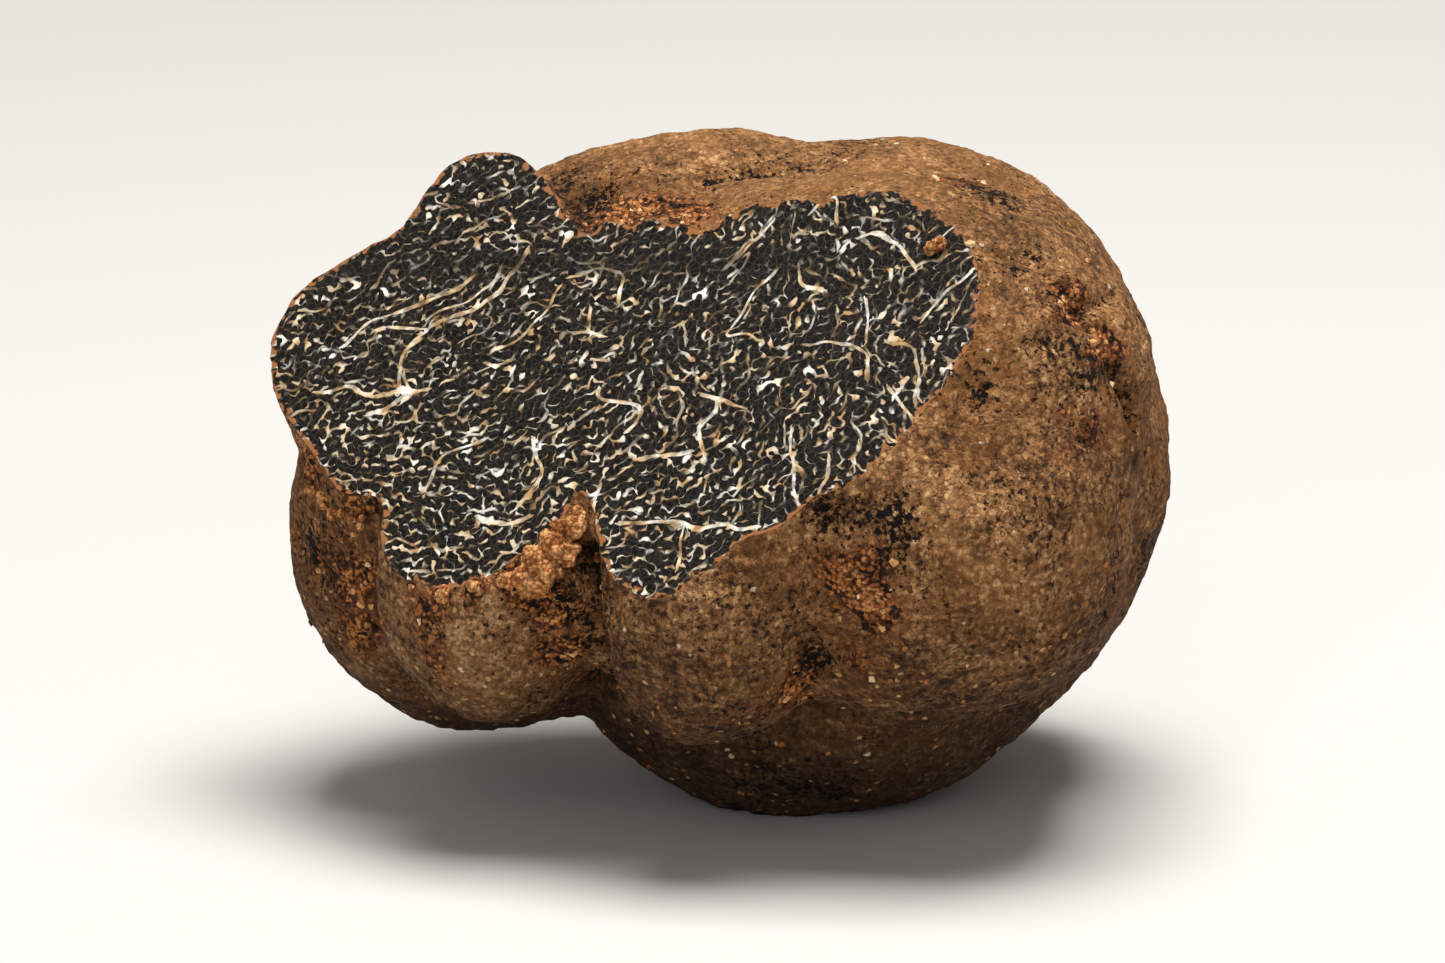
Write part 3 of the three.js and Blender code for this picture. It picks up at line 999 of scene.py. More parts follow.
def skin_material():
    """Truffle rind, dry and warty, under the soil film that a brush leaves: matt, brown and grainy."""
    material, tree = new_material(SKIN_NAME)
    place = node(tree, "ShaderNodeTexCoord").outputs["Object"]
    hollow, soil, pitted, painted_light_and_shade = [
        node(tree, "ShaderNodeAttribute", attribute_name=name).outputs["Fac"]
        for name in ("hollow", "soil", "pitted", "painted_light_and_shade")
    ]

    # Broad clouds of lighter and darker brown, the mottle of single warts, and dust, which is drawn coarser
    # than it is so that it shows.
    cloud = node(tree, "ShaderNodeTexNoise", {
        "Vector": place, "Scale": per_mm(11), "Detail": 3.0, "Roughness": 0.6})
    mottle = node(tree, "ShaderNodeTexNoise", {
        "Vector": place, "Scale": per_mm(2.4), "Detail": 6.0, "Roughness": 0.75})
    dust = node(tree, "ShaderNodeTexNoise", {
        "Vector": place, "Scale": per_mm(0.55), "Detail": 4.0, "Roughness": 0.75})
    broad = node(tree, "ShaderNodeMath", {0: cloud.outputs["Fac"], 1: mottle.outputs["Fac"]},
                 operation="ADD")
    dusted = node(tree, "ShaderNodeMath", {0: dust.outputs["Fac"], 1: 1.3, 2: broad},
                  operation="MULTIPLY_ADD")

    # Fine lines that the brush left, all running level, and also drawn coarser so that they show.
    level = node(tree, "ShaderNodeVectorMath", {0: place, 1: (0.14, 0.14, 1.0)}, operation="MULTIPLY")
    bristle = node(tree, "ShaderNodeTexNoise", {"Vector": level, "Scale": per_mm(0.6), "Detail": 2.0})
    brushed = node(tree, "ShaderNodeMath", {0: bristle.outputs["Fac"], 1: 0.35, 2: dusted},
                   operation="MULTIPLY_ADD")

    # Loose grains, each its own shade.
    loose = shifted(tree, place, 0.4, 0.5, (0.0, 0.0, 0.0))
    grain = node(tree, "ShaderNodeTexVoronoi", {"Vector": loose, "Scale": per_mm(0.34)})
    number = node(tree, "ShaderNodeSeparateColor", {"Color": grain.outputs["Color"]})
    summed = node(tree, "ShaderNodeMath", {0: number.outputs["Red"], 1: 0.32, 2: brushed},
                  operation="MULTIPLY_ADD")
    ranged = node(tree, "ShaderNodeMapRange", {"Value": summed, "From Min": 1.55, "From Max": 2.4})
    # The patches paint the rind paler or darker: painted light and painted shade.
    shade = node(tree, "ShaderNodeMath", {0: ranged, 1: painted_light_and_shade}, operation="ADD")
    brown = node(tree, "ShaderNodeValToRGB", {"Fac": shade}, stops=[
        (0.0, "#1c1008"), (0.25, "#4b2f1a"), (0.5, "#835a36"), (0.75, "#ad7d50"), (1.0, "#dbaf7c")])
    gap = node(tree, "ShaderNodeMapRange", {
        "Value": grain.outputs["Distance"], "From Min": 0.45, "From Max": 0.8, "To Max": 0.4})
    grained = node(tree, "ShaderNodeMixRGB", {"Fac": gap, "Color1": brown, "Color2": colour("#22160d")})

    # Warmer, rusty clouds, and the upper part painted paler tan towards the top: painted light.
    rust = node(tree, "ShaderNodeTexNoise", {
        "Vector": place, "Scale": per_mm(8), "Detail": 4.0, "Roughness": 0.65})
    rusty = node(tree, "ShaderNodeMapRange", {
        "Value": rust.outputs["Fac"], "From Min": 0.45, "From Max": 0.66, "To Max": 0.4})
    warm = node(tree, "ShaderNodeMixRGB", {"Fac": rusty, "Color1": grained, "Color2": colour("#93602f")})
    upward = node(tree, "ShaderNodeSeparateXYZ", {"Vector": place})
    high = node(tree, "ShaderNodeMapRange", {
        "Value": upward.outputs["Z"], "From Min": 26 * MM, "From Max": 42 * MM, "To Max": 0.17})
    painted_top_light = node(tree, "ShaderNodeMixRGB", {"Fac": high, "Color1": warm, "Color2": colour("#b5824f")})

    # The lower side is painted darker towards the floor: painted shade.
    low = node(tree, "ShaderNodeMapRange", {
        "Value": upward.outputs["Z"], "From Min": 23 * MM, "From Max": 5 * MM, "To Max": 0.8})
    painted_low_shade = node(tree, "ShaderNodeMixRGB", {"Fac": low, "Color1": painted_top_light, "Color2": colour("#22150c")})

    # A rusty stain spreads round the caked soil.
    stain = node(tree, "ShaderNodeMath", {0: soil, 1: 0.6}, operation="MULTIPLY")
    stained = node(tree, "ShaderNodeMixRGB", {"Fac": stain, "Color1": painted_low_shade, "Color2": colour("#8a4f28")})

    # Black pits: a few everywhere, and many where they crowd together.
    speck = node(tree, "ShaderNodeTexNoise", {
        "Vector": place, "Scale": per_mm(0.42), "Detail": 3.0, "Roughness": 0.65})
    cluster = node(tree, "ShaderNodeTexNoise", {"Vector": place, "Scale": per_mm(6), "Detail": 3.0})
    often = node(tree, "ShaderNodeMapRange", {
        "Value": cluster.outputs["Fac"], "From Min": 0.38, "From Max": 0.66, "To Min": 0.3, "To Max": 0.43})
    crowded = node(tree, "ShaderNodeMath", {0: pitted, 1: 0.14, 2: often}, operation="MULTIPLY_ADD")
    below = node(tree, "ShaderNodeMath", {0: crowded, 1: speck.outputs["Fac"]}, operation="SUBTRACT")
    pits = node(tree, "ShaderNodeMapRange", {"Value": below, "From Min": -0.04, "From Max": 0.07}, **SMOOTH)
    dark = node(tree, "ShaderNodeMixRGB", {"Fac": pits, "Color1": stained, "Color2": colour("#21130a")})

    # Single tan and orange crumbs, and a few pale grains of sand.
    crumb = node(tree, "ShaderNodeTexVoronoi", {"Vector": loose, "Scale": per_mm(0.62)})
    crumb_number = node(tree, "ShaderNodeSeparateColor", {"Color": crumb.outputs["Color"]})
    picked = node(tree, "ShaderNodeMapRange", {
        "Value": crumb_number.outputs["Blue"], "From Min": 0.86, "From Max": 0.91}, **SMOOTH)
    on_crumb = node(tree, "ShaderNodeMapRange", {
        "Value": crumb.outputs["Distance"], "From Min": 0.42, "From Max": 0.22}, **SMOOTH)
    crumbs = node(tree, "ShaderNodeMath", {0: picked, 1: on_crumb}, operation="MULTIPLY")
    crumb_colour = node(tree, "ShaderNodeValToRGB", {"Fac": crumb_number.outputs["Green"]}, stops=[
        (0.0, "#a2602f"), (0.45, "#bd8750"), (0.88, "#cda06d"), (1.0, "#e3d2b4")])
    crumbed = node(tree, "ShaderNodeMixRGB", {"Fac": crumbs, "Color1": dark, "Color2": crumb_colour})

    # Granular soil caked in creases and patches, thinning out to single granules.
    lift = node(tree, "ShaderNodeMapRange", {
        "Value": soil, "From Min": 0.5, "From Max": 1.0, "To Min": -0.04, "To Max": 0.2})
    clay, clay_height = granules(tree, place, lift, 0.8)
    thickness = node(tree, "ShaderNodeMath", {0: soil, 1: speck.outputs["Fac"]}, operation="ADD")
    cover = node(tree, "ShaderNodeMapRange", {
        "Value": thickness, "From Min": 0.76, "From Max": 1.06}, **SMOOTH)
    caked_skin = node(tree, "ShaderNodeMixRGB", {"Fac": cover, "Color1": crumbed, "Color2": clay})

    # Black holes gape in the caked soil too, where pits crowd together.
    gaping = node(tree, "ShaderNodeMath", {0: pitted, 1: 0.32, 2: 0.22}, operation="MULTIPLY_ADD")
    deeper = node(tree, "ShaderNodeMath", {0: gaping, 1: speck.outputs["Fac"]}, operation="SUBTRACT")
    holes = node(tree, "ShaderNodeMapRange", {
        "Value": deeper, "From Min": -0.03, "From Max": 0.05}, **SMOOTH)
    skin = node(tree, "ShaderNodeMixRGB", {"Fac": holes, "Color1": caked_skin, "Color2": colour("#0d0704")})
    # Hollows and creases are painted darker, almost to black: painted shade.
    painted_crease_shade = node(tree, "ShaderNodeMapRange", {
        "Value": hollow, "From Min": 0.35, "From Max": 1.3, "To Max": 0.92})
    shaded = node(tree, "ShaderNodeMixRGB", {"Fac": painted_crease_shade, "Color1": skin, "Color2": colour("#150b05")})

    # The grains stand up as small rounded lumps, and the pits sink between them.
    lump = node(tree, "ShaderNodeMath", {0: shade, 1: gap}, operation="SUBTRACT")
    crumb_lump = node(tree, "ShaderNodeMath", {0: lump, 1: crumbs}, operation="ADD")
    pitting = node(tree, "ShaderNodeMath", {0: pits, 1: holes}, operation="MAXIMUM")
    rough = node(tree, "ShaderNodeMath", {0: crumb_lump, 1: pitting}, operation="SUBTRACT")
    caked = node(tree, "ShaderNodeMath", {0: clay_height, 1: cover, 2: rough}, operation="MULTIPLY_ADD")
    bump = node(tree, "ShaderNodeBump", {"Height": caked, "Distance": 0.25 * MM, "Strength": 0.9})
    surface = node(tree, "ShaderNodeBsdfPrincipled", {
        "Base Color": shaded, "Roughness": 0.9, "Specular IOR Level": 0.2, "Normal": bump})
    node(tree, "ShaderNodeOutputMaterial", {"Surface": surface})
    return material


def stroke_middle(tree, place, pitch, waves, along, direction):
    """Distance from the middle of the nearest of many wandering strokes: 0 in it, 1 halfway to the next."""
    strokes = node(tree, "ShaderNodeTexGabor", {
        "Vector": place, "Scale": per_mm(pitch * waves), "Frequency": waves, "Anisotropy": along,
        "Orientation": direction}, gabor_type="2D")
    centred = node(tree, "ShaderNodeMath", {0: strokes.outputs["Phase"], 1: 0.5}, operation="SUBTRACT")
    away = node(tree, "ShaderNodeMath", {0: centred}, operation="ABSOLUTE")
    return node(tree, "ShaderNodeMath", {0: away, 1: 2.0}, operation="MULTIPLY")


def flesh_material():
    """Ripe gleba, cut with a knife: firm, near black and faintly waxy, with fine white branching veins."""
    material, tree = new_material("sliced truffle flesh")
    place = node(tree, "ShaderNodeTexCoord").outputs["Object"]
    rim, vein, vein_side, knot = [
        node(tree, "ShaderNodeAttribute", attribute_name=name).outputs["Fac"]
        for name in ("rim", "vein", "vein side", "knot")
    ]
    grain = node(tree, "ShaderNodeAttribute", attribute_name="grain").outputs["Vector"]

    # The fine veins lie in the knife face, so their pattern reads only the two directions in it.
    across = node(tree, "ShaderNodeVectorMath", {0: place, 1: CUT_RIGHT}, operation="DOT_PRODUCT")
    up = node(tree, "ShaderNodeVectorMath", {0: place, 1: CUT_UP}, operation="DOT_PRODUCT")
    face = node(tree, "ShaderNodeCombineXYZ", {"X": across.outputs["Value"], "Y": up.outputs["Value"]})
    parts = node(tree, "ShaderNodeSeparateXYZ", {"Vector": grain})
    along = node(tree, "ShaderNodeMath", {0: parts.outputs["Y"], 1: parts.outputs["X"]},
                 operation="ARCTAN2")
    direction = node(tree, "ShaderNodeMath", {0: along, 1: math.pi / 2}, operation="ADD")
    bent = shifted(tree, face, 1.0, 0.55, (0.0, 0.0, 0.0))

    # Knots, where veins meet: they widen and brighten what runs through them.
    small = node(tree, "ShaderNodeTexVoronoi", {"Vector": bent, "Scale": per_mm(1.5)},
                 voronoi_dimensions="2D")
    small_number = node(tree, "ShaderNodeSeparateColor", {"Color": small.outputs["Color"]})
    chosen = node(tree, "ShaderNodeMapRange", {
        "Value": small_number.outputs["Green"], "From Min": 0.5, "From Max": 0.8}, **SMOOTH)
    near_small = node(tree, "ShaderNodeMapRange", {
        "Value": small.outputs["Distance"], "From Min": 0.52, "From Max": 0.12}, **SMOOTH)
    small_knot = node(tree, "ShaderNodeMath", {0: chosen, 1: near_small}, operation="MULTIPLY")
    large_knot = node(tree, "ShaderNodeMapRange", {
        "Value": knot, "From Min": 0.4, "From Max": -0.1}, **SMOOTH)
    knotted = node(tree, "ShaderNodeMath", {0: small_knot, 1: large_knot}, operation="MAXIMUM")

    # Fine veins: short strokes that wander, swell and fade, each its own brightness.
    middle = stroke_middle(tree, bent, 0.72, 1.5, 0.15, direction)
    swell = node(tree, "ShaderNodeTexNoise", {"Vector": place, "Scale": per_mm(0.8), "Detail": 1.0})
    width = node(tree, "ShaderNodeMapRange", {
        "Value": swell.outputs["Fac"], "From Min": 0.36, "From Max": 0.64, "To Min": -0.01, "To Max": 0.31})
    wider = node(tree, "ShaderNodeMath", {0: knotted, 1: 0.26, 2: width}, operation="MULTIPLY_ADD")
    inside = node(tree, "ShaderNodeMath", {0: wider, 1: middle}, operation="SUBTRACT")
    white = node(tree, "ShaderNodeMapRange", {
        "Value": inside, "From Min": -0.12, "From Max": 0.12}, **SMOOTH)
    glow = node(tree, "ShaderNodeTexNoise", {"Vector": face, "Scale": per_mm(0.8), "Detail": 2.0})
    lower_edge = node(tree, "ShaderNodeMapRange", {
        "Value": up.outputs["Value"], "From Min": 20 * MM, "From Max": 6 * MM, "To Max": 0.09})
    glowing = node(tree, "ShaderNodeMath", {0: glow.outputs["Fac"], 1: lower_edge}, operation="ADD")
    bright = node(tree, "ShaderNodeMapRange", {
        "Value": glowing, "From Min": 0.46, "From Max": 0.69, "To Min": 0.08, "To Max": 0.95})
    brightest = node(tree, "ShaderNodeMath", {0: bright, 1: knotted}, operation="MAXIMUM")
    fine = node(tree, "ShaderNodeMath", {0: white, 1: brightest}, operation="MULTIPLY")

    # Longer veins between the main ones, thin and even.
    apart = shifted(tree, face, 1.4, 0.9, (0.09, 0.02, 0.05))
    long_middle = stroke_middle(tree, apart, 1.7, 2.2, 0.5, direction)
    long_white = node(tree, "ShaderNodeMapRange", {
        "Value": long_middle, "From Min": 0.14, "From Max": 0.05}, **SMOOTH)
    long_glow = node(tree, "ShaderNodeTexNoise", {"Vector": apart, "Scale": per_mm(1.8), "Detail": 2.0})
    long_bright = node(tree, "ShaderNodeMapRange", {
        "Value": long_glow.outputs["Fac"], "From Min": 0.46, "From Max": 0.64, "To Max": 0.7})
    long_veins = node(tree, "ShaderNodeMath", {0: long_white, 1: long_bright}, operation="MULTIPLY")
    branching = node(tree, "ShaderNodeMath", {0: fine, 1: long_veins}, operation="MAXIMUM")

    # Main veins: even lines that brighten and dim along their length.
    offset = node(tree, "ShaderNodeMath", {0: vein_side}, operation="ABSOLUTE")
    ragged = node(tree, "ShaderNodeTexNoise", {"Vector": place, "Scale": per_mm(0.6), "Detail": 1.0})
    fraying = node(tree, "ShaderNodeMapRange", {
        "Value": ragged.outputs["Fac"], "From Min": 0.3, "From Max": 0.7, "To Min": -0.4, "To Max": 0.4})
    torn = node(tree, "ShaderNodeMath", {0: offset, 1: fraying}, operation="ADD")
    in_line = node(tree, "ShaderNodeMapRange", {"Value": torn, "From Min": 1.35, "From Max": 0.8}, **SMOOTH)
    near_line = node(tree, "ShaderNodeMapRange", {
        "Value": vein, "From Min": 0.34, "From Max": 0.24}, **SMOOTH)
    line = node(tree, "ShaderNodeMath", {0: in_line, 1: near_line}, operation="MULTIPLY")
    main_bright = node(tree, "ShaderNodeMapRange", {
        "Value": glow.outputs["Fac"], "From Min": 0.36, "From Max": 0.6, "To Min": 0.35, "To Max": 1.0})
    main = node(tree, "ShaderNodeMath", {0: line, 1: main_bright}, operation="MULTIPLY")
    marbling = node(tree, "ShaderNodeMath", {0: branching, 1: main}, operation="MAXIMUM")

    # The knife dragged here and left a dark wavering smear.
    wave = node(tree, "ShaderNodeTexNoise", {"Vector": face, "Scale": per_mm(5), "Detail": 3.0})
    waved = node(tree, "ShaderNodeMath", {
        0: wave.outputs["Fac"], 1: SMEAR_WAVER * MM, 2: up.outputs["Value"]}, operation="MULTIPLY_ADD")
    level = node(tree, "ShaderNodeMath", {0: across.outputs["Value"], 1: -SMEAR_CLIMB, 2: waved},
                 operation="MULTIPLY_ADD")
    smear_middle = SMEAR_UP + SMEAR_WAVER / 2 + float(CORE @ (CUT_UP - SMEAR_CLIMB * CUT_RIGHT))
    from_smear = node(tree, "ShaderNodeMath", {0: level, 1: smear_middle * MM}, operation="SUBTRACT")
    smear_side = node(tree, "ShaderNodeMath", {0: from_smear}, operation="ABSOLUTE")
    in_smear = node(tree, "ShaderNodeMapRange", {
        "Value": smear_side, "From Min": SMEAR_HALF * MM, "From Max": SMEAR_DARK * MM}, **SMOOTH)
    right_end = (SMEAR_END + float(CORE @ CUT_RIGHT)) * MM
    full_again = right_end - SMEAR_FADE * MM
    smear_end = node(tree, "ShaderNodeMapRange", {
        "Value": across.outputs["Value"], "From Min": right_end, "From Max": full_again}, **SMOOTH)
    smeared = node(tree, "ShaderNodeMath", {0: in_smear, 1: smear_end}, operation="MULTIPLY")
    clear = node(tree, "ShaderNodeMapRange", {"Value": smeared, "To Min": 1.0, "To Max": 0.3})
    marbled = node(tree, "ShaderNodeMath", {0: marbling, 1: clear}, operation="MULTIPLY")

    # The dark flesh is itself a mesh of tiny cells, with dim grey walls.
    cell_place = shifted(tree, face, 0.5, 0.3, (0.03, 0.07, 0.01))
    cell = node(tree, "ShaderNodeTexVoronoi", {"Vector": cell_place, "Scale": per_mm(0.55)},
                voronoi_dimensions="2D", feature="DISTANCE_TO_EDGE")
    wall = node(tree, "ShaderNodeMapRange", {
        "Value": cell.outputs["Distance"], "From Min": 0.14, "From Max": 0.03}, **SMOOTH)
    ground = node(tree, "ShaderNodeTexNoise", {
        "Vector": place, "Scale": per_mm(1.3), "Detail": 5.0, "Roughness": 0.7})
    gleba = node(tree, "ShaderNodeValToRGB", {"Fac": ground.outputs["Fac"]}, stops=[
        (0.35, "#090706"), (0.5, "#120f0c"), (0.65, "#1e1915")])
    walls = node(tree, "ShaderNodeMath", {0: wall, 1: 0.4}, operation="MULTIPLY")
    celled = node(tree, "ShaderNodeMixRGB", {"Fac": walls, "Color1": gleba, "Color2": colour("#403931")})
    tint = node(tree, "ShaderNodeTexNoise", {"Vector": place, "Scale": per_mm(1.1), "Detail": 2.0})
    pale = node(tree, "ShaderNodeValToRGB", {"Fac": tint.outputs["Fac"]}, stops=[
        (0.38, "#eee6d8"), (0.5, "#dac29d"), (0.64, "#af895d")])
    pure = node(tree, "ShaderNodeMixRGB", {"Fac": large_knot, "Color1": pale, "Color2": colour("#efe9df")})
    flesh = node(tree, "ShaderNodeMixRGB", {"Fac": marbled, "Color1": celled, "Color2": pure})

    # The cut edge of the rind shows as a thin broken line.
    frayed = node(tree, "ShaderNodeMath", {0: fraying, 1: rim}, operation="ADD")
    skin_line = node(tree, "ShaderNodeMapRange", {
        "Value": frayed, "From Min": 0.2, "From Max": -0.05}, **SMOOTH)
    edged = node(tree, "ShaderNodeMixRGB", {"Fac": skin_line, "Color1": flesh, "Color2": colour("#93603a")})

    bump = node(tree, "ShaderNodeBump", {"Height": marbling, "Distance": 0.05 * MM, "Strength": 0.5})
    surface = node(tree, "ShaderNodeBsdfPrincipled", {
        "Base Color": edged, "Roughness": 0.55, "Specular IOR Level": 0.1, "Normal": bump})
    node(tree, "ShaderNodeOutputMaterial", {"Surface": surface})
    return material


def clod_material():
    """Dry clay soil packed into a clod of granules, tan to rust with black gaps: dull and rough."""
    material, tree = new_material("clod of dry clay")
    place = node(tree, "ShaderNodeTexCoord").outputs["Object"]
    # The clod's granules are lifted paler than the skin's: partly the clay's own tan, partly painted light
    # from above.
    clay, height = granules(tree, place, 0.25, 0.6)
    bump = node(tree, "ShaderNodeBump", {"Height": height, "Distance": 0.25 * MM, "Strength": 0.9})
    surface = node(tree, "ShaderNodeBsdfPrincipled", {
        "Base Color": clay, "Roughness": 0.95, "Specular IOR Level": 0.15, "Normal": bump})
    node(tree, "ShaderNodeOutputMaterial", {"Surface": surface})
    return material


def soil_material():
    """Dry clay soil in crumbs, rusty to near black, with a few pale grains of sand: dull and rough."""
    material, tree = new_material("dry clay crumbs")
    place = node(tree, "ShaderNodeTexCoord").outputs["Object"]
    shade = node(tree, "ShaderNodeAttribute", attribute_name="shade").outputs["Fac"]
    clay = node(tree, "ShaderNodeValToRGB", {"Fac": shade}, stops=[
        (0.0, "#170e07"), (0.25, "#5b371d"), (0.45, "#965a2d"), (0.75, "#bb8048"), (0.93, "#d2a06a"),
        (1.0, "#e0cba6")])
    dust = node(tree, "ShaderNodeTexNoise", {"Vector": place, "Scale": per_mm(0.25), "Detail": 3.0})
    level = node(tree, "ShaderNodeMapRange", {
        "Value": dust.outputs["Fac"], "From Min": 0.3, "From Max": 0.7, "To Min": 0.7, "To Max": 1.2})
    dusted = node(tree, "ShaderNodeVectorMath", {0: clay, 1: level}, operation="MULTIPLY")
    bump = node(tree, "ShaderNodeBump", {
        "Height": dust.outputs["Fac"], "Distance": 0.08 * MM, "Strength": 0.8})
    surface = node(tree, "ShaderNodeBsdfPrincipled", {
        "Base Color": dusted, "Roughness": 0.95, "Specular IOR Level": 0.15, "Normal": bump})
    node(tree, "ShaderNodeOutputMaterial", {"Surface": surface})
    return material


def paper_material():
    """Studio paper, pale, plain and matt."""
    material, tree = new_material("pale studio paper")
    surface = node(tree, "ShaderNodeBsdfPrincipled", {"Base Color": colour("#cdcac5"), "Roughness": 0.9})
    node(tree, "ShaderNodeOutputMaterial", {"Surface": surface})
    return material


# ---------------------------------------------------------------- the soil


def sprinkle_tree(material):
    """A node tree that scatters small angular grains over a surface, thickest where soil is caked."""
    tree = bpy.data.node_groups.new("soil grains", "GeometryNodeTree")
    sockets = tree.interface
    sockets.new_socket("Surface", in_out="INPUT", socket_type="NodeSocketGeometry")
    for name in GRAIN_SIZES:
        sockets.new_socket(name, in_out="INPUT", socket_type="NodeSocketFloat")
    sockets.new_socket("Seed", in_out="INPUT", socket_type="NodeSocketInt")
    sockets.new_socket("Grains", in_out="OUTPUT", socket_type="NodeSocketGeometry")
    given = node(tree, "NodeGroupInput").outputs

    # Nothing lands on the knife face or within a grain of the floor.
    soil = node(tree, "GeometryNodeInputNamedAttribute", {"Name": "soil"}, data_type="FLOAT")
    squared = node(tree, "ShaderNodeMath", {0: soil.outputs["Attribute"], 1: 2.0}, operation="POWER")
    caked = node(tree, "ShaderNodeMath", {0: squared, 1: given["Caked a square metre"]},
                 operation="MULTIPLY")
    density = node(tree, "ShaderNodeMath", {0: caked, 1: given["Loose a square metre"]}, operation="ADD")
    place = node(tree, "ShaderNodeSeparateXYZ", {"Vector": node(tree, "GeometryNodeInputPosition")})
    clear = node(tree, "ShaderNodeMath", {0: place.outputs["Z"], 1: given["Largest"]},
                 operation="GREATER_THAN")
    skin = node(tree, "GeometryNodeMaterialSelection", {"Material": bpy.data.materials[SKIN_NAME]})
    allowed = node(tree, "ShaderNodeMath", {0: clear, 1: skin}, operation="MULTIPLY")
    spread = node(tree, "GeometryNodeDistributePointsOnFaces", {
        "Mesh": given["Surface"], "Selection": allowed, "Density": density, "Seed": given["Seed"]})
    sunk = node(tree, "ShaderNodeVectorMath", {0: spread.outputs["Normal"], "Scale": given["Sunk"]},
                operation="SCALE")
    points = node(tree, "GeometryNodeSetPosition", {"Geometry": spread.outputs["Points"], "Offset": sunk})

    # Few grains are large, so the random size is squared before it is used.
    chance = node(tree, "FunctionNodeRandomValue", {"Seed": 3}, data_type="FLOAT").outputs["Value"]
    rare = node(tree, "ShaderNodeMath", {0: chance, 1: 2.0}, operation="POWER")
    size = node(tree, "ShaderNodeMapRange", {
        "Value": rare, "To Min": given["Smallest"], "To Max": given["Largest"]})
    fullness = node(tree, "FunctionNodeRandomValue", {
        0: GRAIN_SLIGHTEST, 1: GRAIN_FULLEST, "Seed": 5}, data_type="FLOAT_VECTOR")
    scale = node(tree, "ShaderNodeVectorMath", {0: fullness, "Scale": size}, operation="SCALE")
    turn = node(tree, "FunctionNodeRandomValue", {1: GRAIN_TURN, "Seed": 7}, data_type="FLOAT_VECTOR")
    grain = node(tree, "GeometryNodeMeshIcoSphere", {"Radius": 0.5, "Subdivisions": 1})
    placed = node(tree, "GeometryNodeInstanceOnPoints", {
        "Points": points, "Instance": grain.outputs["Mesh"], "Rotation": turn, "Scale": scale})
    shade = node(tree, "FunctionNodeRandomValue", {"Seed": 9}, data_type="FLOAT")
    shaded = node(tree, "GeometryNodeStoreNamedAttribute", {
        "Geometry": placed, "Name": "shade", "Value": shade.outputs["Value"]},
        data_type="FLOAT", domain="INSTANCE")
    real = node(tree, "GeometryNodeRealizeInstances", {"Geometry": shaded})

    # A noise finer than a grain breaks the round outline of each.
    bite = node(tree, "ShaderNodeTexNoise", {"Scale": per_mm(0.3), "Detail": 1.0})
    centred = node(tree, "ShaderNodeVectorMath", {0: bite.outputs["Color"], 1: (0.5, 0.5, 0.5)},
                   operation="SUBTRACT")
    chip = node(tree, "ShaderNodeVectorMath", {0: centred, "Scale": GRAIN_CHIP}, operation="SCALE")
    broken = node(tree, "GeometryNodeSetPosition", {"Geometry": real, "Offset": chip})
    finished = node(tree, "GeometryNodeSetMaterial", {"Geometry": broken, "Material": material})
    node(tree, "NodeGroupOutput", {"Grains": finished})
    return tree


def sprinkle_soil(surface, material):
    """The soil grains that cling to the truffle, as one plain mesh."""
    holder = put_in_scene("soil holder", surface)
    scatter = holder.modifiers.new("soil grains", "NODES")
    scatter.node_group = sprinkle_tree(material)
    for item in scatter.node_group.interface.items_tree:
        if item.name in GRAIN_SIZES:
            scatter[item.identifier] = GRAIN_SIZES[item.name]
        elif item.name == "Seed":
            scatter[item.identifier] = GRAIN_SEED
    return finished_mesh(holder)


def rim_crumbs():
    """The middle and radius of each crumb along the rim, a little out of line and no two alike."""
    draw = random.Random(RIM_CRUMB_SEED)
    crumbs = []
    for line in RIM_CRUMB_LINES:
        for start, end in zip(line[:-1], line[1:]):
            start = Vector(start)
            stretch = Vector(end) - start
            for step in range(round(stretch.length / RIM_CRUMB_SPACING)):
                stray = Vector([draw.uniform(-RIM_CRUMB_STRAY, RIM_CRUMB_STRAY) for _ in range(3)])
                middle = start + stretch.normalized() * step * RIM_CRUMB_SPACING + stray
                crumbs.append((middle, draw.uniform(*RIM_CRUMB_RADIUS)))
    return crumbs


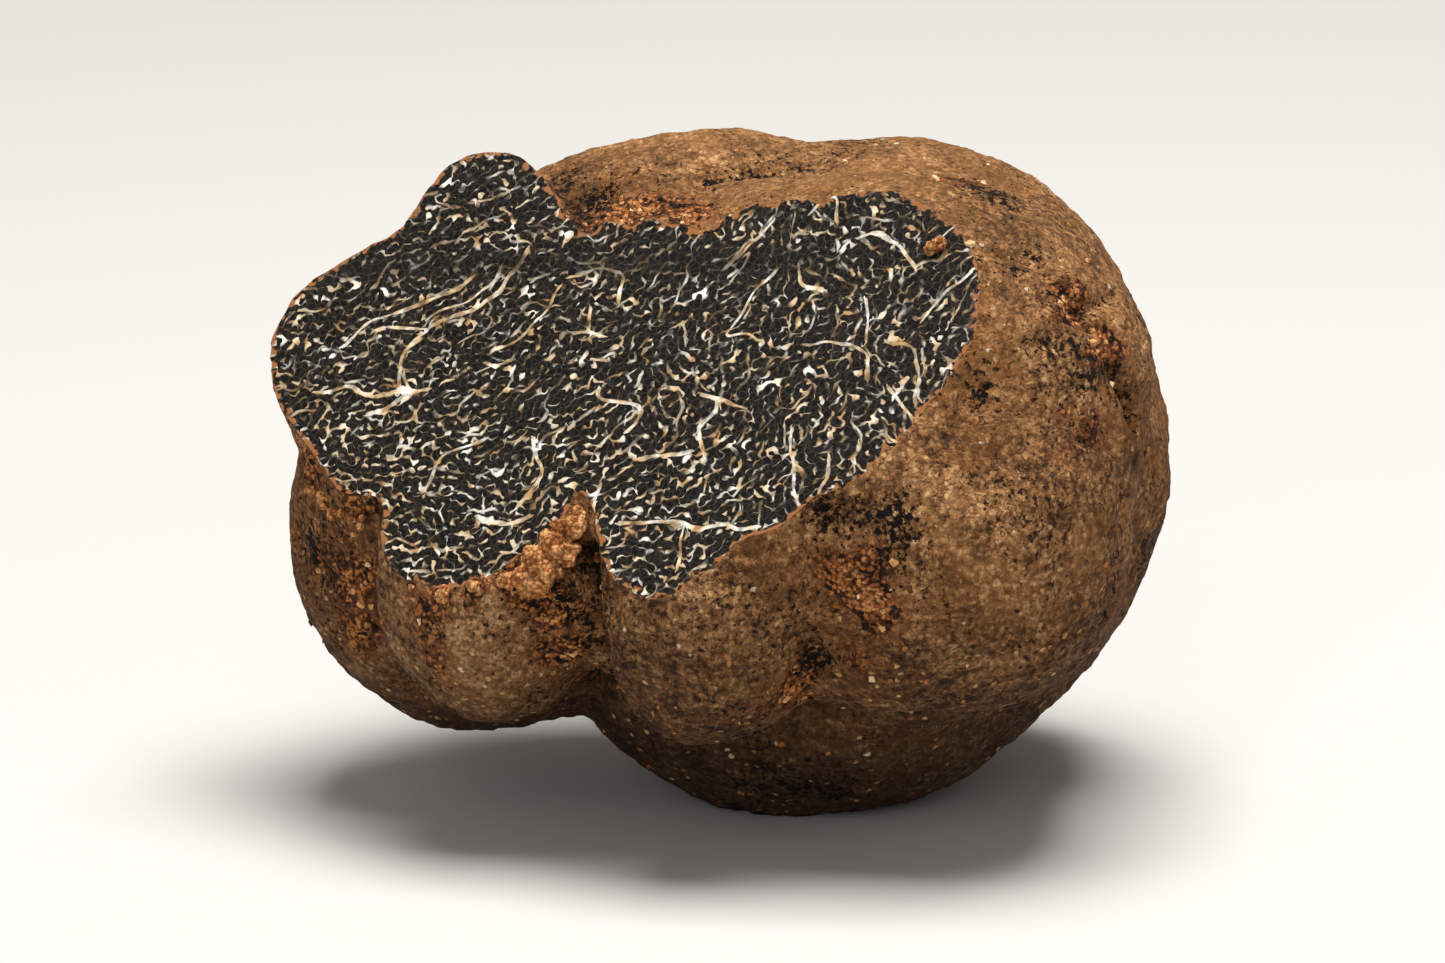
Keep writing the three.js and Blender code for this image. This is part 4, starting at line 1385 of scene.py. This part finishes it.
def build_clod():
    """The crumbly clod in the notch, the crumb on the face and those along the rim, all worn by noise.

    Lumps that overlap melt into one.
    """
    lumps = bmesh.new()
    for middle, radius in CLOD_LUMPS + CRUMB_LUMPS + rim_crumbs():
        place = Matrix.Translation(middle)
        bmesh.ops.create_icosphere(lumps, subdivisions=LUMP_STEPS, radius=radius, matrix=place)
    mesh = bpy.data.meshes.new("lumps")
    lumps.to_mesh(mesh)
    lumps.free()
    clod = even_faces(mesh, CLOD_FACE)
    points = read_points(clod)
    spacing, wear, seed = CLOD_CRUMBLE
    height = wear * (CLOD_SWELL + noise(points, spacing, seed))
    height += wear / 3 * noise(points, spacing / 2, seed + 1)
    write_points(clod, (points + read_normals(clod) * height[:, None] + CORE) * MM)
    return clod


# ---------------------------------------------------------------- the studio


def lay_floor():
    """A wide sheet of pale paper that the truffle rests on."""
    half = FLOOR_SIZE / 2
    corners = [(-half, -half, 0), (half, -half, 0), (half, half, 0), (-half, half, 0)]
    sheet = bpy.data.meshes.new("floor")
    sheet.from_pydata(corners, [], [(0, 1, 2, 3)])
    floor = new_piece("floor", sheet, [paper_material()])


def aimed(thing, place, target):
    """Put a light or camera in its place, looking at the target."""
    holder = put_in_scene(thing.name, thing)
    holder.location = place
    holder.rotation_euler = (Vector(target) - Vector(place)).to_track_quat("-Z", "Y").to_euler()
    return holder


def light_studio():
    """A soft light above, a weaker one in front and a little to the left, and an even room."""
    world = bpy.data.worlds.new("studio")
    bpy.context.scene.world = world
    world.use_nodes = True
    world.node_tree.nodes["Background"].inputs["Color"].default_value = colour("#f6f4f1")
    world.node_tree.nodes["Background"].inputs["Strength"].default_value = ROOM_LIGHT
    for name, size, power, place in LIGHTS:
        light = bpy.data.lights.new(name, "AREA")
        light.size = size
        light.energy = power
        aimed(light, place, MIDDLE)


def set_camera():
    """Look from the front and a little above, from about an arm's length, with colours as they are."""
    camera = bpy.data.cameras.new("camera")
    camera.sensor_width = SENSOR
    camera.lens = SENSOR * CAMERA_DISTANCE / VIEW_WIDTH
    camera.clip_start = CAMERA_NEAREST
    back = Vector((0, -math.cos(CAMERA_RISE), math.sin(CAMERA_RISE)))
    bpy.context.scene.camera = aimed(camera, MIDDLE + back * CAMERA_DISTANCE, MIDDLE)
    bpy.context.scene.view_settings.view_transform = "Standard"


# ---------------------------------------------------------------- putting it together

truffle = new_piece("black_truffle", build_truffle(), [skin_material(), flesh_material()])
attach(truffle, "root")
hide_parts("truffle")

soil_grains = new_piece("soil_grains", sprinkle_soil(truffle.data, soil_material()), [])
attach(soil_grains, "root")

soil_clod = new_piece("soil_clod", build_clod(), [clod_material()])
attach(soil_clod, "root")

lay_floor()
light_studio()
set_camera()
